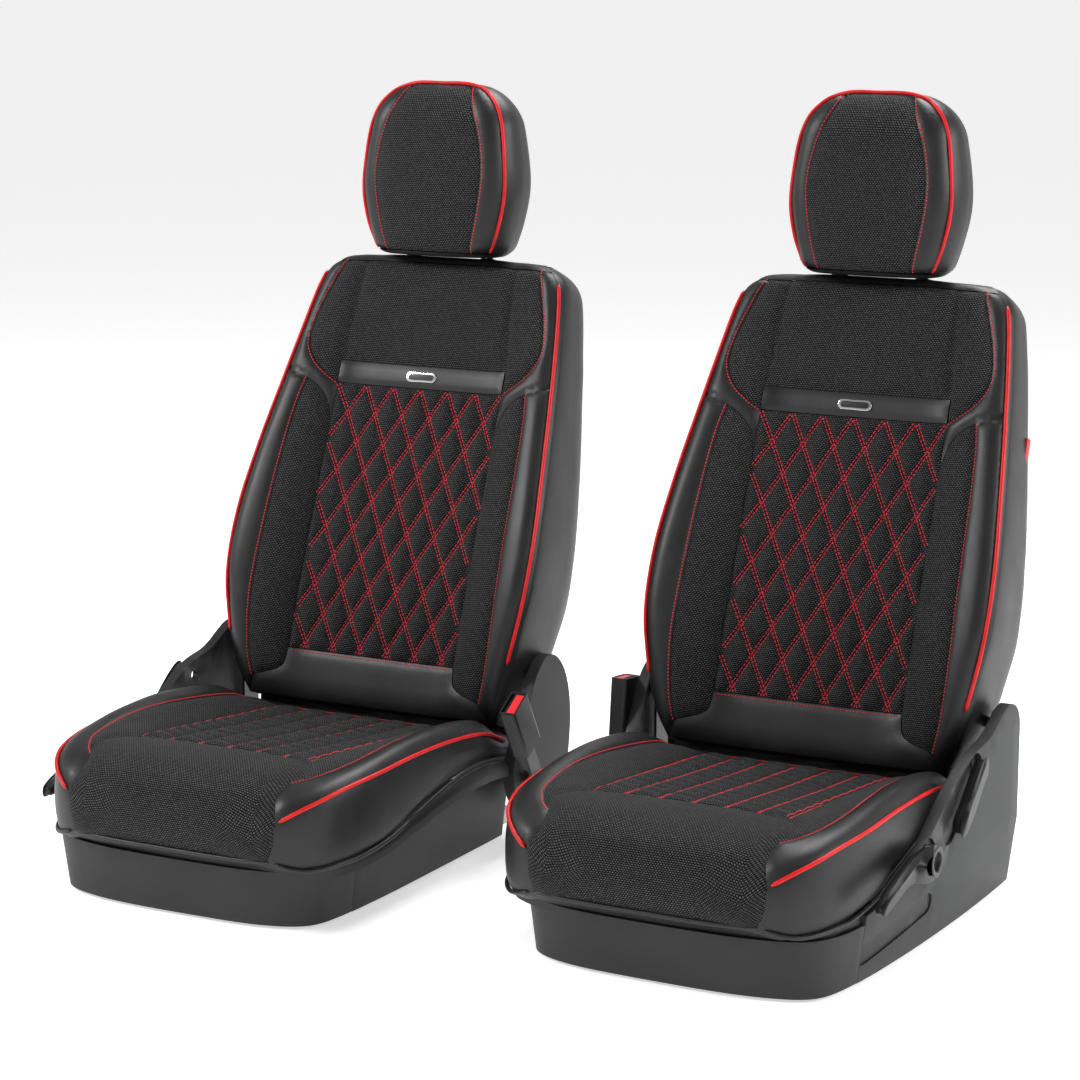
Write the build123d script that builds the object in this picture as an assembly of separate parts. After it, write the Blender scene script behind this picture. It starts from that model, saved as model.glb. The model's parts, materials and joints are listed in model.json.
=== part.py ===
"""A pair of front car seats dressed in a fitted cover set, in millimetres.

+X is the driver seat's outboard side, -Y is the way the seats face and +Z is up.  One seat is modelled
about its own centre with the recliner pivot at y = 0.  The driver seat is that seat, and the passenger
seat is its mirror image, standing a little further forward.  The origin lies on the floor under the
middle of the pair.

Each seat is made of sliding rails, a cushion frame, padded covers, quilted inserts, piping, plastic
trims, levers, a buckle, recliners, a backrest frame and a headrest on two posts.
"""

import os
from math import radians, sqrt, tan

from build123d import *

# ---- the pair -------------------------------------------------------------------------------------
SEAT_PITCH = 690.0  # between the two seats' centres
PASSENGER_FORWARD = 55.0  # how far further forward the passenger seat stands on its rails
MIDDLE_Y = -199.6  # middle of the pair, from the passenger's nose to the headrest's rear

# ---- backrest, upright about its pivot: x across, -y to the front, z up its length -------------------
PIVOT_Z = 240.0
LEAN = 20.0  # degrees from upright at rest
BACK_BOTTOM, BACK_TOP = -84.0, 624.0
BACK_HALF_WIDTH = [(-84, 216), (-50, 232), (0, 247), (60, 258), (120, 266), (230, 262), (430, 238), (560, 218),
                   (624, 204)]
BACK_CENTRE = [(-84, 54), (-50, 60), (60, 66), (200, 62), (430, 50), (560, 56), (624, 56)]  # front face at x = 0
BACK_REAR = [(-84, 20), (-56, 46), (0, 64), (60, 70), (300, 74), (624, 64)]
BOLSTER_RISE = [(-84, 6), (-30, 24), (120, 42), (300, 36), (430, 22), (540, 2), (624, -12)]  # crest over centre
SHOULDER_ROUND, EDGE_ROUND = 46.0, 26.0
INSERT_HALF = 143.0  # half width of the quilted insert
QUILT_LOW, QUILT_HIGH = -10.0, 412.0  # along the backrest
BAND_HIGH = 446.0  # top edge of the plain band over the quilt
BADGE_WIDTH, BADGE_HEIGHT = 52.0, 15.0

# ---- cushion: x across, sections along y, z up ------------------------------------------------------
NOSE_Y, CUSHION_REAR_Y = -612.0, -10.0
CUSHION_BASE_Z = 88.0
CUSHION_HALF_WIDTH = [(-612, 142), (-604, 176), (-585, 206), (-550, 230), (-480, 248), (-360, 254),
                      (-200, 252), (-60, 242), (-10, 226)]
CUSHION_CENTRE = [(-612, 158), (-604, 186), (-585, 204), (-550, 216), (-500, 217), (-400, 205),
                  (-250, 186), (-110, 170), (-70, 163), (-10, 142)]
CUSHION_RISE = [(-612, -14), (-560, -12), (-480, 2), (-380, 22), (-260, 34), (-150, 28), (-90, 6), (-10, 2)]
HEM_HEIGHT = [(-600, 90), (-520, 94), (-440, 103), (-370, 120), (-290, 136), (-200, 142), (-120, 134),
              (-10, 110)]
SEAT_QUILT_FRONT, SEAT_QUILT_BACK = -462.0, -92.0

# ---- headrest, upright about its own base ------------------------------------------------------------
HEAD_BASE_S = 624.0  # base along the backrest's length
HEAD_BASE_N = 46.0  # base in front of the pivot line
HEAD_TILT = 4.0  # degrees from upright at rest
HEAD_HEIGHT = 262.0
HEAD_HALF_WIDTH = [(0, 104), (20, 116), (95, 134), (150, 132), (262, 112)]
HEAD_FRONT = [(0, 52), (40, 60), (130, 62), (262, 46)]
HEAD_BACK = [(0, 52), (50, 64), (150, 64), (262, 46)]
HEAD_ROUND = 62.0
POST_RADIUS, POST_PITCH, POST_N = 6.0, 130.0, 12.0
POST_LENGTH, POST_IN_HEAD = 182.0, 60.0

# ---- soft layers --------------------------------------------------------------------------------------
INSERT_BACK_N, INSERT_BACK_Z = 34.0, 150.0  # how deep the two quilted inserts reach
FRAME_GAP = 0.5  # between padding and frame
PIPING_RADIUS = 2.8

# ---- rails and frames -----------------------------------------------------------------------------------
RAIL_X = 172.0
RAIL_FRONT_Y, RAIL_LENGTH = -410.0, 380.0
RAIL_WIDTH, RAIL_HEIGHT, RAIL_WALL, RAIL_SLOT = 44.0, 22.0, 3.0, 14.0
TAB_LENGTH, BOLT_RADIUS = 26.0, 4.5  # floor tab past each rail end, with its bolt hole in the middle
SLIDER_FRONT_Y, SLIDER_REAR_Y, SLIDER_TOP = -370.0, -50.0, 34.0
TUBE_YS = (-350.0, -110.0)  # cross tubes and feet of the cushion frame
SIDE_X, SIDE_WALL = 196.0, 4.0  # cushion frame side plates
BRACKET_X, BRACKET_WALL = 257.0, 4.0  # recliner brackets outside the covers
SHAFT_RADIUS, DISC_RADIUS = 8.0, 24.0
RUNNING_GAP = 0.08  # round every turning or sliding pin

# ---- trims and controls -------------------------------------------------------------------------------------
FLOOR_GAP, TRIM_SPLIT_Y, TRIM_SEAM = 4.0, -470.0, 0.6
TRIM_TAPER, TRIM_TAPER_TOP = 12.0, 100.0  # how far the base draws in at the floor, and from where
THIN_WALL, THICK_WALL = 4.0, 16.0
BASE_PLAN = [(286, 30), (284, -100), (276, -250), (263, -390), (246, -500), (222, -556), (170, -582),
             (60, -594), (-50, -593), (-150, -580), (-194, -554), (-213, -500), (-224, -390),
             (-230, -250), (-235, -100), (-238, 30)]
LEVER_HUB = (-306.0, 128.0)  # y, z of the height lever's hub
LEVER_LENGTH = 196.0
RECLINE_HUB = (-146.0, 214.0)  # y, z of the recline lever's hub
GROOVE_RUN = ((-462.0, 42.0), (-290.0, 62.0))  # y, z of both ends of the groove under the height lever
GROOVE_RADIUS, GROOVE_DEPTH = 15.0, 3.0
LEVER_X = (271.0, 287.0)  # inner and outer face of the height lever
RECLINE_X = (282.5, 296.0)
BUCKLE_X, BUCKLE_ANCHOR = -290.0, (-74.0, 104.0)  # middle of the stalk; y, z of its anchor bolt
BUCKLE_HEAD = (68.0, 154.0)  # ends of the head along the stalk
DRIVER_BUCKLE_LEAN, PASSENGER_BUCKLE_LEAN = -6.0, 30.0  # degrees forward of upright at rest


def through(knots, t):
    """The value at t of a smooth curve through (t, value) knots, level past both ends."""
    if t <= knots[0][0]:
        return knots[0][1]
    if t >= knots[-1][0]:
        return knots[-1][1]
    i = max(k for k in range(len(knots) - 1) if knots[k][0] <= t)
    slopes = []
    for k in (i, i + 1):
        before, after = knots[max(k - 1, 0)], knots[min(k + 1, len(knots) - 1)]
        slopes.append((after[1] - before[1]) / (after[0] - before[0]))
    (t0, v0), (t1, v1) = knots[i], knots[i + 1]
    span = t1 - t0
    u = (t - t0) / span
    return (
        v0 * (2 * u**3 - 3 * u**2 + 1)
        + v1 * (3 * u**2 - 2 * u**3)
        + slopes[0] * span * (u**3 - 2 * u**2 + u)
        + slopes[1] * span * (u**3 - u**2)
    )


def round_inset(distance_from_end, radius):
    """How far a rounded end has drawn in at this distance from its tip."""
    if distance_from_end >= radius:
        return 0.0
    rise = 1 - max(distance_from_end, 0.0) / radius
    return radius * (1 - sqrt(max(0.0, 1 - rise * rise)))


def slab(x0, x1, y0, y1, z0, z1):
    """A box given by its two corners."""
    centre = Pos((x0 + x1) / 2, (y0 + y1) / 2, (z0 + z1) / 2)
    return centre * Box(abs(x1 - x0), abs(y1 - y0), abs(z1 - z0))


def rod(start, end, radius):
    """A cylinder between two points."""
    line = Edge.make_line(start, end)
    ring = Wire([Edge.make_circle(radius, Plane(origin=start, z_dir=line % 0))])
    return Solid.extrude(Face(ring), Vector(*end) - Vector(*start))


def side_plate(points, x0, x1):
    """A straight-edged outline in (y, z), pushed across from x0 to x1."""
    outline = Polyline(*[(x0, y, z) for y, z in points], close=True)
    return Solid.extrude(Face(Wire(outline.edges())), Vector(x1 - x0, 0, 0))


def smooth_plate(points, x0, x1):
    """A smooth closed outline through (y, z) points, pushed across from x0 to x1."""
    edge = Edge.make_spline([Vector(x0, y, z) for y, z in points], periodic=True)
    return Solid.extrude(Face(Wire([edge])), Vector(x1 - x0, 0, 0))


def round_bar(low, high, radius, x0, x1):
    """A flat bar with rounded ends between two (y, z) points."""
    (y0, z0), (y1, z1) = low, high
    length = sqrt((y1 - y0) ** 2 + (z1 - z0) ** 2)
    ny, nz = -(z1 - z0) / length * radius, (y1 - y0) / length * radius
    corners = [(y0 + ny, z0 + nz), (y1 + ny, z1 + nz), (y1 - ny, z1 - nz), (y0 - ny, z0 - nz)]
    bar = side_plate(corners, x0, x1)
    return bar + rod((x0, y0, z0), (x1, y0, z0), radius) + rod((x0, y1, z1), (x1, y1, z1), radius)


def mirrored_loop(half):
    """A closed spline through the right-hand half's points and their mirror images."""
    left = [(-x, y, z) for x, y, z in reversed(half) if abs(x) > 1e-6]
    return Wire([Edge.make_spline([Vector(*p) for p in half + left], periodic=True)])


def piping_along(points):
    """A round cord on straight runs joined by arcs as wide as the runs allow."""
    radii = []
    for before, here, after in zip(points, points[1:], points[2:]):
        run_in, run_out = Vector(*here) - Vector(*before), Vector(*after) - Vector(*here)
        turn = radians(run_in.get_angle(run_out))
        radii.append(0.45 * min(run_in.length, run_out.length) / tan(turn / 2))
    path = FilletPolyline(*points, radius=radii)
    ring = Wire([Edge.make_circle(PIPING_RADIUS, Plane(origin=path @ 0, z_dir=path % 0))])
    return Solid.sweep(Face(ring), Wire(path.edges()))


# ---- soft shapes ------------------------------------------------------------------------------------
def backrest_section(s):
    """The right half of the backrest's outline at height s."""
    w = through(BACK_HALF_WIDTH, s) - round_inset(BACK_TOP - s, SHOULDER_ROUND)
    edge = round_inset(BACK_TOP - s, EDGE_ROUND)
    front, rear = through(BACK_CENTRE, s) - edge, through(BACK_REAR, s) - edge
    rise = through(BOLSTER_RISE, s)
    channel = 0.53 * w
    crest = w - 26
    return [
        (0, -front, s),
        (0.6 * channel, -front, s),
        (channel, -front - 0.12 * rise, s),
        ((channel + crest) / 2, -front - 0.72 * rise, s),
        (crest, -front - rise, s),
        (w - 5, -front - rise + 7, s),
        (w, -front - rise + 20, s),
        (w + 1, -0.2 * front, s),
        (w - 4, 0.55 * rear, s),
        (w - 24, 0.93 * rear, s),
        (0.62 * w, rear, s),
        (0, rear, s),
    ]


def backrest_body():
    """The backrest's padded body."""
    levels = [BACK_BOTTOM, -50, 20, 110, 230, 340, 440, 530]
    levels += [BACK_TOP - SHOULDER_ROUND * k for k in (1, 0.55, 0.22, 0.05)]
    levels.append(BACK_TOP - 0.01)
    return Solid.make_loft([mirrored_loop(backrest_section(s)) for s in levels])


def cushion_section(y):
    """The right half of the cushion's outline at depth y."""
    w = through(CUSHION_HALF_WIDTH, y)
    top = through(CUSHION_CENTRE, y)
    rise = through(CUSHION_RISE, y)
    nose = max(0.0, (-590 - y) / 22)
    hem = through(HEM_HEIGHT, y) + 16 * nose
    belly = CUSHION_BASE_Z + 16 * nose
    shoulder = top + 0.8 * rise
    return [
        (0, y, top),
        (0.42 * w, y, top),
        (0.58 * w, y, top + 0.15 * rise),
        (w - 40, y, top + 0.9 * rise),
        (w - 20, y, top + rise - 2),
        (w - 4, y, shoulder - 12),
        (w, y, (shoulder + hem) / 2),
        (w - 4, y, hem + 10),
        (w - 18, y, hem),
        (0.8 * w, y, hem + 1),
        (0.62 * w, y, belly + 2),
        (0, y, belly),
    ]


def cushion_body():
    """The cushion's padded body."""
    levels = [NOSE_Y, -605, -590, -560, -500, -420, -320, -220, -130, -70, CUSHION_REAR_Y]
    return Solid.make_loft([mirrored_loop(cushion_section(y)) for y in levels])


def headrest_section(z):
    """The right half of the headrest's outline at height z."""
    drawn = round_inset(HEAD_HEIGHT - z, HEAD_ROUND) + round_inset(z, 16)
    w = through(HEAD_HALF_WIDTH, z) - drawn
    front, back = through(HEAD_FRONT, z) - 0.6 * drawn, through(HEAD_BACK, z) - 0.6 * drawn
    return [
        (0, -front, z),
        (0.45 * w, -front + 2, z),
        (0.77 * w, -0.84 * front, z),
        (0.92 * w, -0.6 * front, z),
        (0.985 * w, -0.24 * front, z),
        (w, 0.1 * back, z),
        (0.95 * w, 0.6 * back, z),
        (0.74 * w, 0.92 * back, z),
        (0.35 * w, back, z),
        (0, back, z),
    ]


def headrest_body():
    """The headrest's padded body."""
    levels = [0, 5, 16, 60, 110, 160]
    levels += [HEAD_HEIGHT - HEAD_ROUND * k for k in (1, 0.6, 0.3, 0.1)]
    levels.append(HEAD_HEIGHT - 0.01)
    return Solid.make_loft([mirrored_loop(headrest_section(z)) for z in levels])


# ---- headrest, in the upright backrest frame -----------------------------------------------------------
def post_rods(radius, low, high):
    """Two rods on the lines that the headrest's posts follow."""
    half = POST_PITCH / 2
    return [rod((x, -POST_N, low), (x, -POST_N, high), radius) for x in (-half, half)]


def post_bridge(radius):
    """The bar that joins the two posts inside the headrest, with its rounded corners."""
    half, high = POST_PITCH / 2, HEAD_BASE_S + POST_IN_HEAD
    bar = rod((-half, -POST_N, high), (half, -POST_N, high), radius)
    return [bar] + [Pos(x, -POST_N, high) * Sphere(radius) for x in (-half, half)]


def headrest_posts(radius, low):
    """One bent steel rod: two legs joined by a bridge inside the headrest."""
    legs = post_rods(radius, low, HEAD_BASE_S + POST_IN_HEAD)
    return legs[0] + legs[1] + post_bridge(radius)


def headrest_nodes():
    """Padded headrest cover, posts and piping."""
    place = Location((0, -HEAD_BASE_N, HEAD_BASE_S), (LEAN - HEAD_TILT, 0, 0))
    cavity = headrest_posts(POST_RADIUS + FRAME_GAP, HEAD_BASE_S - 40)
    right = []
    for z in (8, 50, 100, 160, 200, 228, 246):
        x, y, _ = headrest_section(z)[3]
        right.append((x + 1, y - 1, z))
    right.append((0.45 * HEAD_HALF_WIDTH[-1][1], -22, HEAD_HEIGHT + 1))
    left = [(-x, y, z) for x, y, z in reversed(right)]
    return {
        "headrest_cover": place * headrest_body() - cavity,
        "headrest_posts": headrest_posts(POST_RADIUS, HEAD_BASE_S - POST_LENGTH),
        "headrest_piping": place * piping_along(right + left),
    }


# ---- backrest, in the upright backrest frame -------------------------------------------------------------
def headrest_guides():
    """Two plastic sleeves with a collar, which the posts slide in."""
    sleeves = post_rods(11, BACK_TOP - 90, BACK_TOP + 2)
    collars = post_rods(17, BACK_TOP + 0.6, BACK_TOP + 3)
    bores = post_rods(POST_RADIUS + RUNNING_GAP, BACK_TOP - 91, BACK_TOP + 4)
    return Compound(children=[s + c - b for s, c, b in zip(sleeves, collars, bores)])


def headrest_button():
    """The push button beside one collar that frees the posts."""
    x = POST_PITCH / 2 + 19.6
    return slab(x, x + 9, -POST_N - 5, -POST_N + 5, BACK_TOP + 0.8, BACK_TOP + 3)


def backrest_frame(clear=0.0):
    """Two pressed side plates, a top bar with post tubes and a lower bar, welded into one."""
    c = clear
    body = rod((-212 - c, -4, 462), (212 + c, -4, 462), 13 + c)
    body = body + rod((-212 - c, 0, 60), (212 + c, 0, 60), 12 + c)
    for side in (-1, 1):
        body = body + slab(side * (206 - c), side * (212 + c), -34 - c, 26 + c, -28 - c, 470 + c)
    body = body + post_rods(14.5 + c, 440 - c, BACK_TOP - 91 + c)
    if clear:
        return body
    body = body - post_rods(POST_RADIUS + 1.5, 438, BACK_TOP - 90)
    return body - rod((-230, 0, 0), (230, 0, 0), SHAFT_RADIUS + RUNNING_GAP)


def backrest_nodes():
    """Padded backrest cover, quilted insert, frame, guides, button, piping, badge and tag."""
    sleeve_holes = post_rods(11.4, BACK_TOP - 92, BACK_TOP + 20)
    post_hollows = post_rods(POST_RADIUS + 1.5, 425, BACK_TOP - 90)
    shaft_hole = rod((-300, 0, 0), (300, 0, 0), SHAFT_RADIUS + 2)
    pad = backrest_body()
    window = slab(-INSERT_HALF, INSERT_HALF, -140, -INSERT_BACK_N, QUILT_LOW, QUILT_HIGH)
    cover = pad - window - backrest_frame(FRAME_GAP) - sleeve_holes - post_hollows - shaft_hole
    cords = []
    for side in (-1, 1):
        points = []
        for s in (4, 90, 190, 300, 410, 500, 560, 590):
            x, y, _ = backrest_section(s)[5]
            points.append((side * (x + 2), y - 1, s))
        cords.append(piping_along(points))
    middle = (QUILT_HIGH + BAND_HIGH) / 2
    face = -through(BACK_CENTRE, middle)
    badge = slab(-BADGE_WIDTH / 2, BADGE_WIDTH / 2, face - 3, face + 0.5,
                 middle - BADGE_HEIGHT / 2, middle + BADGE_HEIGHT / 2)
    side_x = through(BACK_HALF_WIDTH, 400)
    return {
        "backrest_cover": cover,
        "backrest_quilt": pad & window,
        "backrest_frame": backrest_frame(),
        "headrest_guides": headrest_guides(),
        "headrest_button": headrest_button(),
        "backrest_piping": Compound(children=cords),
        "backrest_badge": fillet(badge.edges().filter_by(Axis.Y), 4),
        "backrest_tag": slab(side_x - 1, side_x + 2.2, 12, 26, 372, 412),
    }


def recliners():
    """Two recliner discs on one cross shaft, outside the cushion frame's brackets."""
    inner = BRACKET_X + BRACKET_WALL + 0.5
    body = rod((-inner - 1, 0, 0), (inner + 1, 0, 0), SHAFT_RADIUS)
    for side in (-1, 1):
        body = body + rod((side * inner, 0, 0), (side * (inner + 5), 0, 0), DISC_RADIUS)
    return body


# ---- cushion ----------------------------------------------------------------------------------------------
def cushion_nodes():
    """Padded cushion cover, quilted insert and piping."""
    pad = cushion_body()
    window = slab(-INSERT_HALF, INSERT_HALF, SEAT_QUILT_FRONT, SEAT_QUILT_BACK, INSERT_BACK_Z, 260)
    cords = []
    for side in (-1, 1):
        points = []
        for y in (-600, -575, -530, -460, -360, -250, -150, -80):
            x, _, z = cushion_section(y)[5]
            points.append((side * (x + 1), y, z + 3))
        cords.append(piping_along(points))
    return {
        "cushion_cover": pad - window - cushion_frame_body(FRAME_GAP),
        "cushion_quilt": pad & window,
        "cushion_piping": Compound(children=cords),
    }


def cushion_frame_body(clear):
    """Side plates, front pan, tubes, rear beam and the two recliner brackets."""
    c = clear
    body = slab(-SIDE_X, SIDE_X, -480 - c, -330 + c, CUSHION_BASE_Z - c, CUSHION_BASE_Z + 4 + c)
    outer = BRACKET_X + BRACKET_WALL
    body = body + slab(-outer - c, outer + c, -38 - c, -14 + c, 80 - c, 104 + c)
    for y in TUBE_YS:
        body = body + rod((-SIDE_X, y, 62), (SIDE_X, y, 62), 9 + c)
    for side in (-1, 1):
        low, high = side * (SIDE_X - c), side * (SIDE_X + SIDE_WALL + c)
        body = body + slab(low, high, -480 - c, -14 + c, SLIDER_TOP, 104 + c)
        low, high = side * (BRACKET_X - c), side * (outer + c)
        body = body + slab(low, high, -20 - c, 20 + c, 80 - c, PIVOT_Z)
        body = body + rod((low, 0, PIVOT_Z), (high, 0, PIVOT_Z), 20 + c)
    return body


def cushion_frame():
    """The frame with its feet, its shaft bores and the stud that the buckle swings on."""
    body = cushion_frame_body(0)
    for side in (-1, 1):
        for y in TUBE_YS:
            inner, outer = side * (SIDE_X - 36), side * (SIDE_X + 1)
            body = body + slab(inner, outer, y - 15, y + 15, SLIDER_TOP, SLIDER_TOP + 4)
    y, z = BUCKLE_ANCHOR
    inner, outer = -BRACKET_X - BRACKET_WALL, BUCKLE_X - 3
    lug = slab(inner, -BRACKET_X, y - 16, -10, z - 14, z + 14)
    stud = rod((inner + 1, y, z), (outer - 1, y, z), 6)
    spacer = rod((inner - 14, y, z), (BUCKLE_X + 3.3, y, z), 10)
    head = rod((outer - 0.3, y, z), (outer - 5, y, z), 11)
    body = body + lug + stud + spacer + head
    return body - rod((-300, 0, PIVOT_Z), (300, 0, PIVOT_Z), SHAFT_RADIUS + RUNNING_GAP)


# ---- rails -------------------------------------------------------------------------------------------------
def floor_rail(x):
    """A lipped channel whose floor runs on at both ends to a bolt hole."""
    end, tab = RAIL_FRONT_Y + RAIL_LENGTH, TAB_LENGTH
    half, inner, slot = RAIL_WIDTH / 2, RAIL_WIDTH / 2 - RAIL_WALL, RAIL_SLOT / 2
    past = (RAIL_FRONT_Y - 1, end + 1)
    body = slab(x - half, x + half, RAIL_FRONT_Y, end, 0, RAIL_HEIGHT)
    body = body - slab(x - inner, x + inner, *past, RAIL_WALL, RAIL_HEIGHT - RAIL_WALL)
    body = body - slab(x - slot, x + slot, *past, RAIL_WALL, RAIL_HEIGHT + 1)
    body = body + slab(x - half, x + half, RAIL_FRONT_Y - tab, end + tab, 0, RAIL_WALL)
    for y in (RAIL_FRONT_Y - tab / 2, end + tab / 2):
        body = body - rod((x, y, -1), (x, y, RAIL_WALL + 1), BOLT_RADIUS)
    return body


def floor_rails():
    """All four rails as they are bolted to the car floor, in line across the pair."""
    centres = (-SEAT_PITCH / 2, SEAT_PITCH / 2)
    rails = [floor_rail(centre + side * RAIL_X) for centre in centres for side in (-1, 1)]
    return Pos(0, -MIDDLE_Y, 0) * Compound(children=rails)


def sliding_rails():
    """Two T-shaped sliders that run in the floor rails."""
    shapes = []
    for side in (-1, 1):
        x = side * RAIL_X
        foot = slab(x - 16, x + 16, SLIDER_FRONT_Y, SLIDER_REAR_Y, 6, 15)
        web = slab(x - 4, x + 4, SLIDER_FRONT_Y, SLIDER_REAR_Y, 14, SLIDER_TOP)
        shapes.append(foot + web)
    return Compound(children=shapes)


# ---- trims ----------------------------------------------------------------------------------------------------
def base_outline(inset, z):
    """The base's plan drawn in by inset, closed straight across its rear."""
    points = []
    for i, (x, y) in enumerate(BASE_PLAN):
        ax, ay = BASE_PLAN[max(i - 1, 0)]
        bx, by = BASE_PLAN[min(i + 1, len(BASE_PLAN) - 1)]
        length = sqrt((bx - ax) ** 2 + (by - ay) ** 2)
        points.append((x + (by - ay) / length * inset, y - (bx - ax) / length * inset, z))
    curve = Edge.make_spline([Vector(*p) for p in points])
    return Wire([curve, Edge.make_line(points[-1], points[0])])


def base_block(inset):
    """The base filled solid, drawn in by inset: tapered to the floor and straight above."""
    low = Solid.make_loft(
        [base_outline(inset + TRIM_TAPER, FLOOR_GAP), base_outline(inset, TRIM_TAPER_TOP)],
        ruled=True,
    )
    high = Solid.extrude(Face(base_outline(inset, TRIM_TAPER_TOP)), Vector(0, 0, 190))
    return low + high


def under_hem(y0, y1, x0, x1, drop):
    """Everything below the cover's hem line, less drop, between two depths."""
    steps = 10
    hem = []
    for k in range(steps + 1):
        y = y0 + (y1 - y0) * k / steps
        hem.append((y, through(HEM_HEIGHT, y) - drop))
    return side_plate([(y1, -1), (y0, -1)] + hem, x0, x1)


def outboard_profile():
    """The outboard trim seen from the side: up along the cushion to a rounded fin."""
    rear = BASE_PLAN[0][1] + 5
    top = [(-470, 97), (-400, 112), (-330, 140), (-280, 168), (-236, 198), (-190, 222), (-140, 238),
           (-90, 246), (-50, 264), (-14, 274), (16, 262), (30, 226)]
    curve = Spline(*[(250, y, z) for y, z in top])
    rest = Polyline((250, 30, 226), (250, rear, 200), (250, rear, 0), (250, -470, 0), (250, -470, 97))
    return Face(Wire([*curve.edges(), *rest.edges()]))


def lever_outline():
    """The height lever's arm, from the tip back to the hub, as smooth-plate points."""
    y, z = LEVER_HUB
    length = LEVER_LENGTH
    return [(y + 8, z + 19), (y - 0.36 * length, z + 27), (y - 0.75 * length, z + 15),
            (y - length, z - 1), (y - length - 2, z - 14), (y - 0.8 * length, z - 9),
            (y - 0.5 * length, z + 1), (y - 0.24 * length, z - 12), (y + 2, z - 20)]


def outboard_trim():
    """The side cover that carries both levers, with a pocket and a pin bore for each."""
    wall = base_block(0) - base_block(THICK_WALL)
    front, inner = TRIM_SPLIT_Y + TRIM_SEAM / 2, BRACKET_X + 0.3
    low = under_hem(front, 40, 150, inner, 2)
    high = Solid.extrude(outboard_profile(), Vector(60, 0, 0)) - slab(200, inner, -600, 60, -5, 300)
    body = wall & (low + (high & slab(200, 400, front, 60, -5, 300)))
    body = body - slab(200, 269.5, -60, 40, 60, 266)
    (ly, lz), (ry, rz) = LEVER_HUB, RECLINE_HUB
    body = body - round_bar((ly - LEVER_LENGTH, lz - 2), (ly, lz), 30, LEVER_X[0] - 2, 320)
    body = body - round_bar((ry - 88, rz - 62), (ry, rz), 22, RECLINE_X[0] - 8.5, 320)
    groove = (base_block(0) - base_block(GROOVE_DEPTH)) & round_bar(*GROOVE_RUN, GROOVE_RADIUS, 200, 320)
    body = body - groove
    body = body - rod((200, ly, lz), (320, ly, lz), 8 + RUNNING_GAP)
    return body - rod((200, ry, rz), (320, ry, rz), 8 + RUNNING_GAP)


def inboard_trim():
    """The low side wall under the cover's inboard hem."""
    wall = base_block(0) - base_block(THIN_WALL)
    return wall & under_hem(TRIM_SPLIT_Y + TRIM_SEAM / 2, -62, -400, -150, 8)


def front_trim():
    """The valance across the front, round both corners."""
    wall = base_block(0) - base_block(THIN_WALL)
    return wall & slab(-400, 400, -700, TRIM_SPLIT_Y - TRIM_SEAM / 2, -1, CUSHION_BASE_Z - 3)


def recliner_cover():
    """The rounded fin over the inboard recliner, open towards the seat."""
    outline = [(-30, 58), (-100, 68), (-120, 124), (-84, 190), (-48, 250), (-6, 276), (34, 256),
               (60, 204), (62, 140), (40, 78)]
    middle_y, middle_z = -26, 166
    inside = [(middle_y + 0.95 * (y - middle_y), middle_z + 0.95 * (z - middle_z))
              for y, z in outline]
    outer = -BRACKET_X - 18
    body = smooth_plate(outline, -BRACKET_X - 0.4, outer)
    body = body - smooth_plate(inside, -BRACKET_X + 1, outer + 3)
    y, z = BUCKLE_ANCHOR
    return body - rod((-300, y, z), (-250, y, z), 10.5)


# ---- levers and buckle ----------------------------------------------------------------------------------------
def height_lever():
    """A curved pump handle on a ring-shaped hub with its pin."""
    (y, z), (inner, outer) = LEVER_HUB, LEVER_X
    body = smooth_plate(lever_outline(), inner + 5, outer) + rod((inner, y, z), (outer, y, z), 22)
    body = body - rod((outer - 9, y, z), (outer + 1, y, z), 14)
    return body + rod((inner - 6, y, z), (inner + 1, y, z), 8)


def recline_lever():
    """A short handle hinged at its upper rear end, with its pin."""
    (y, z), (inner, outer) = RECLINE_HUB, RECLINE_X
    body = round_bar((y - 80, z - 56), (y, z), 13, inner, outer)
    return body + rod((inner - 16, y, z), (inner + 1, y, z), 8)


def buckle_plate(d0, d1, half, x0, x1):
    """A flat block along the upright buckle's line, by distance from the anchor bolt."""
    y, z = BUCKLE_ANCHOR
    return slab(x0, x1, y - half, y + half, z + d0, z + d1)


def buckle_nodes(lean):
    """Buckle stalk, housing with its tongue slot, and release button, leaning forward by lean."""
    x = BUCKLE_X
    (y, z), (low, high) = BUCKLE_ANCHOR, BUCKLE_HEAD
    stalk = buckle_plate(-14, low + 16, 13, x - 3, x + 3)
    stalk = stalk - rod((x - 4, y, z), (x + 4, y, z), 6 + RUNNING_GAP)
    housing = buckle_plate(low, high, 25, x - 13, x + 13)
    housing = fillet(housing.edges().filter_by(Axis.Z), 5)
    housing = housing - buckle_plate(high - 16, high + 1, 20, x - 10.5, x + 3.5)
    housing = housing - buckle_plate(high - 36, high + 1, 20, x + 5.2, x + 10.4)
    housing = housing - buckle_plate(low - 1, low + 16.3, 13.3, x - 3.3, x + 3.3)
    button = buckle_plate(high - 11, high - 1, 19.6, x - 10.1, x + 3.1)
    turn = Location((0, y, z), (lean, 0, 0)) * Location((0, -y, -z))
    return {
        "buckle_stalk": turn * stalk,
        "buckle_housing": turn * housing,
        "buckle_button": turn * button,
    }


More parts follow.
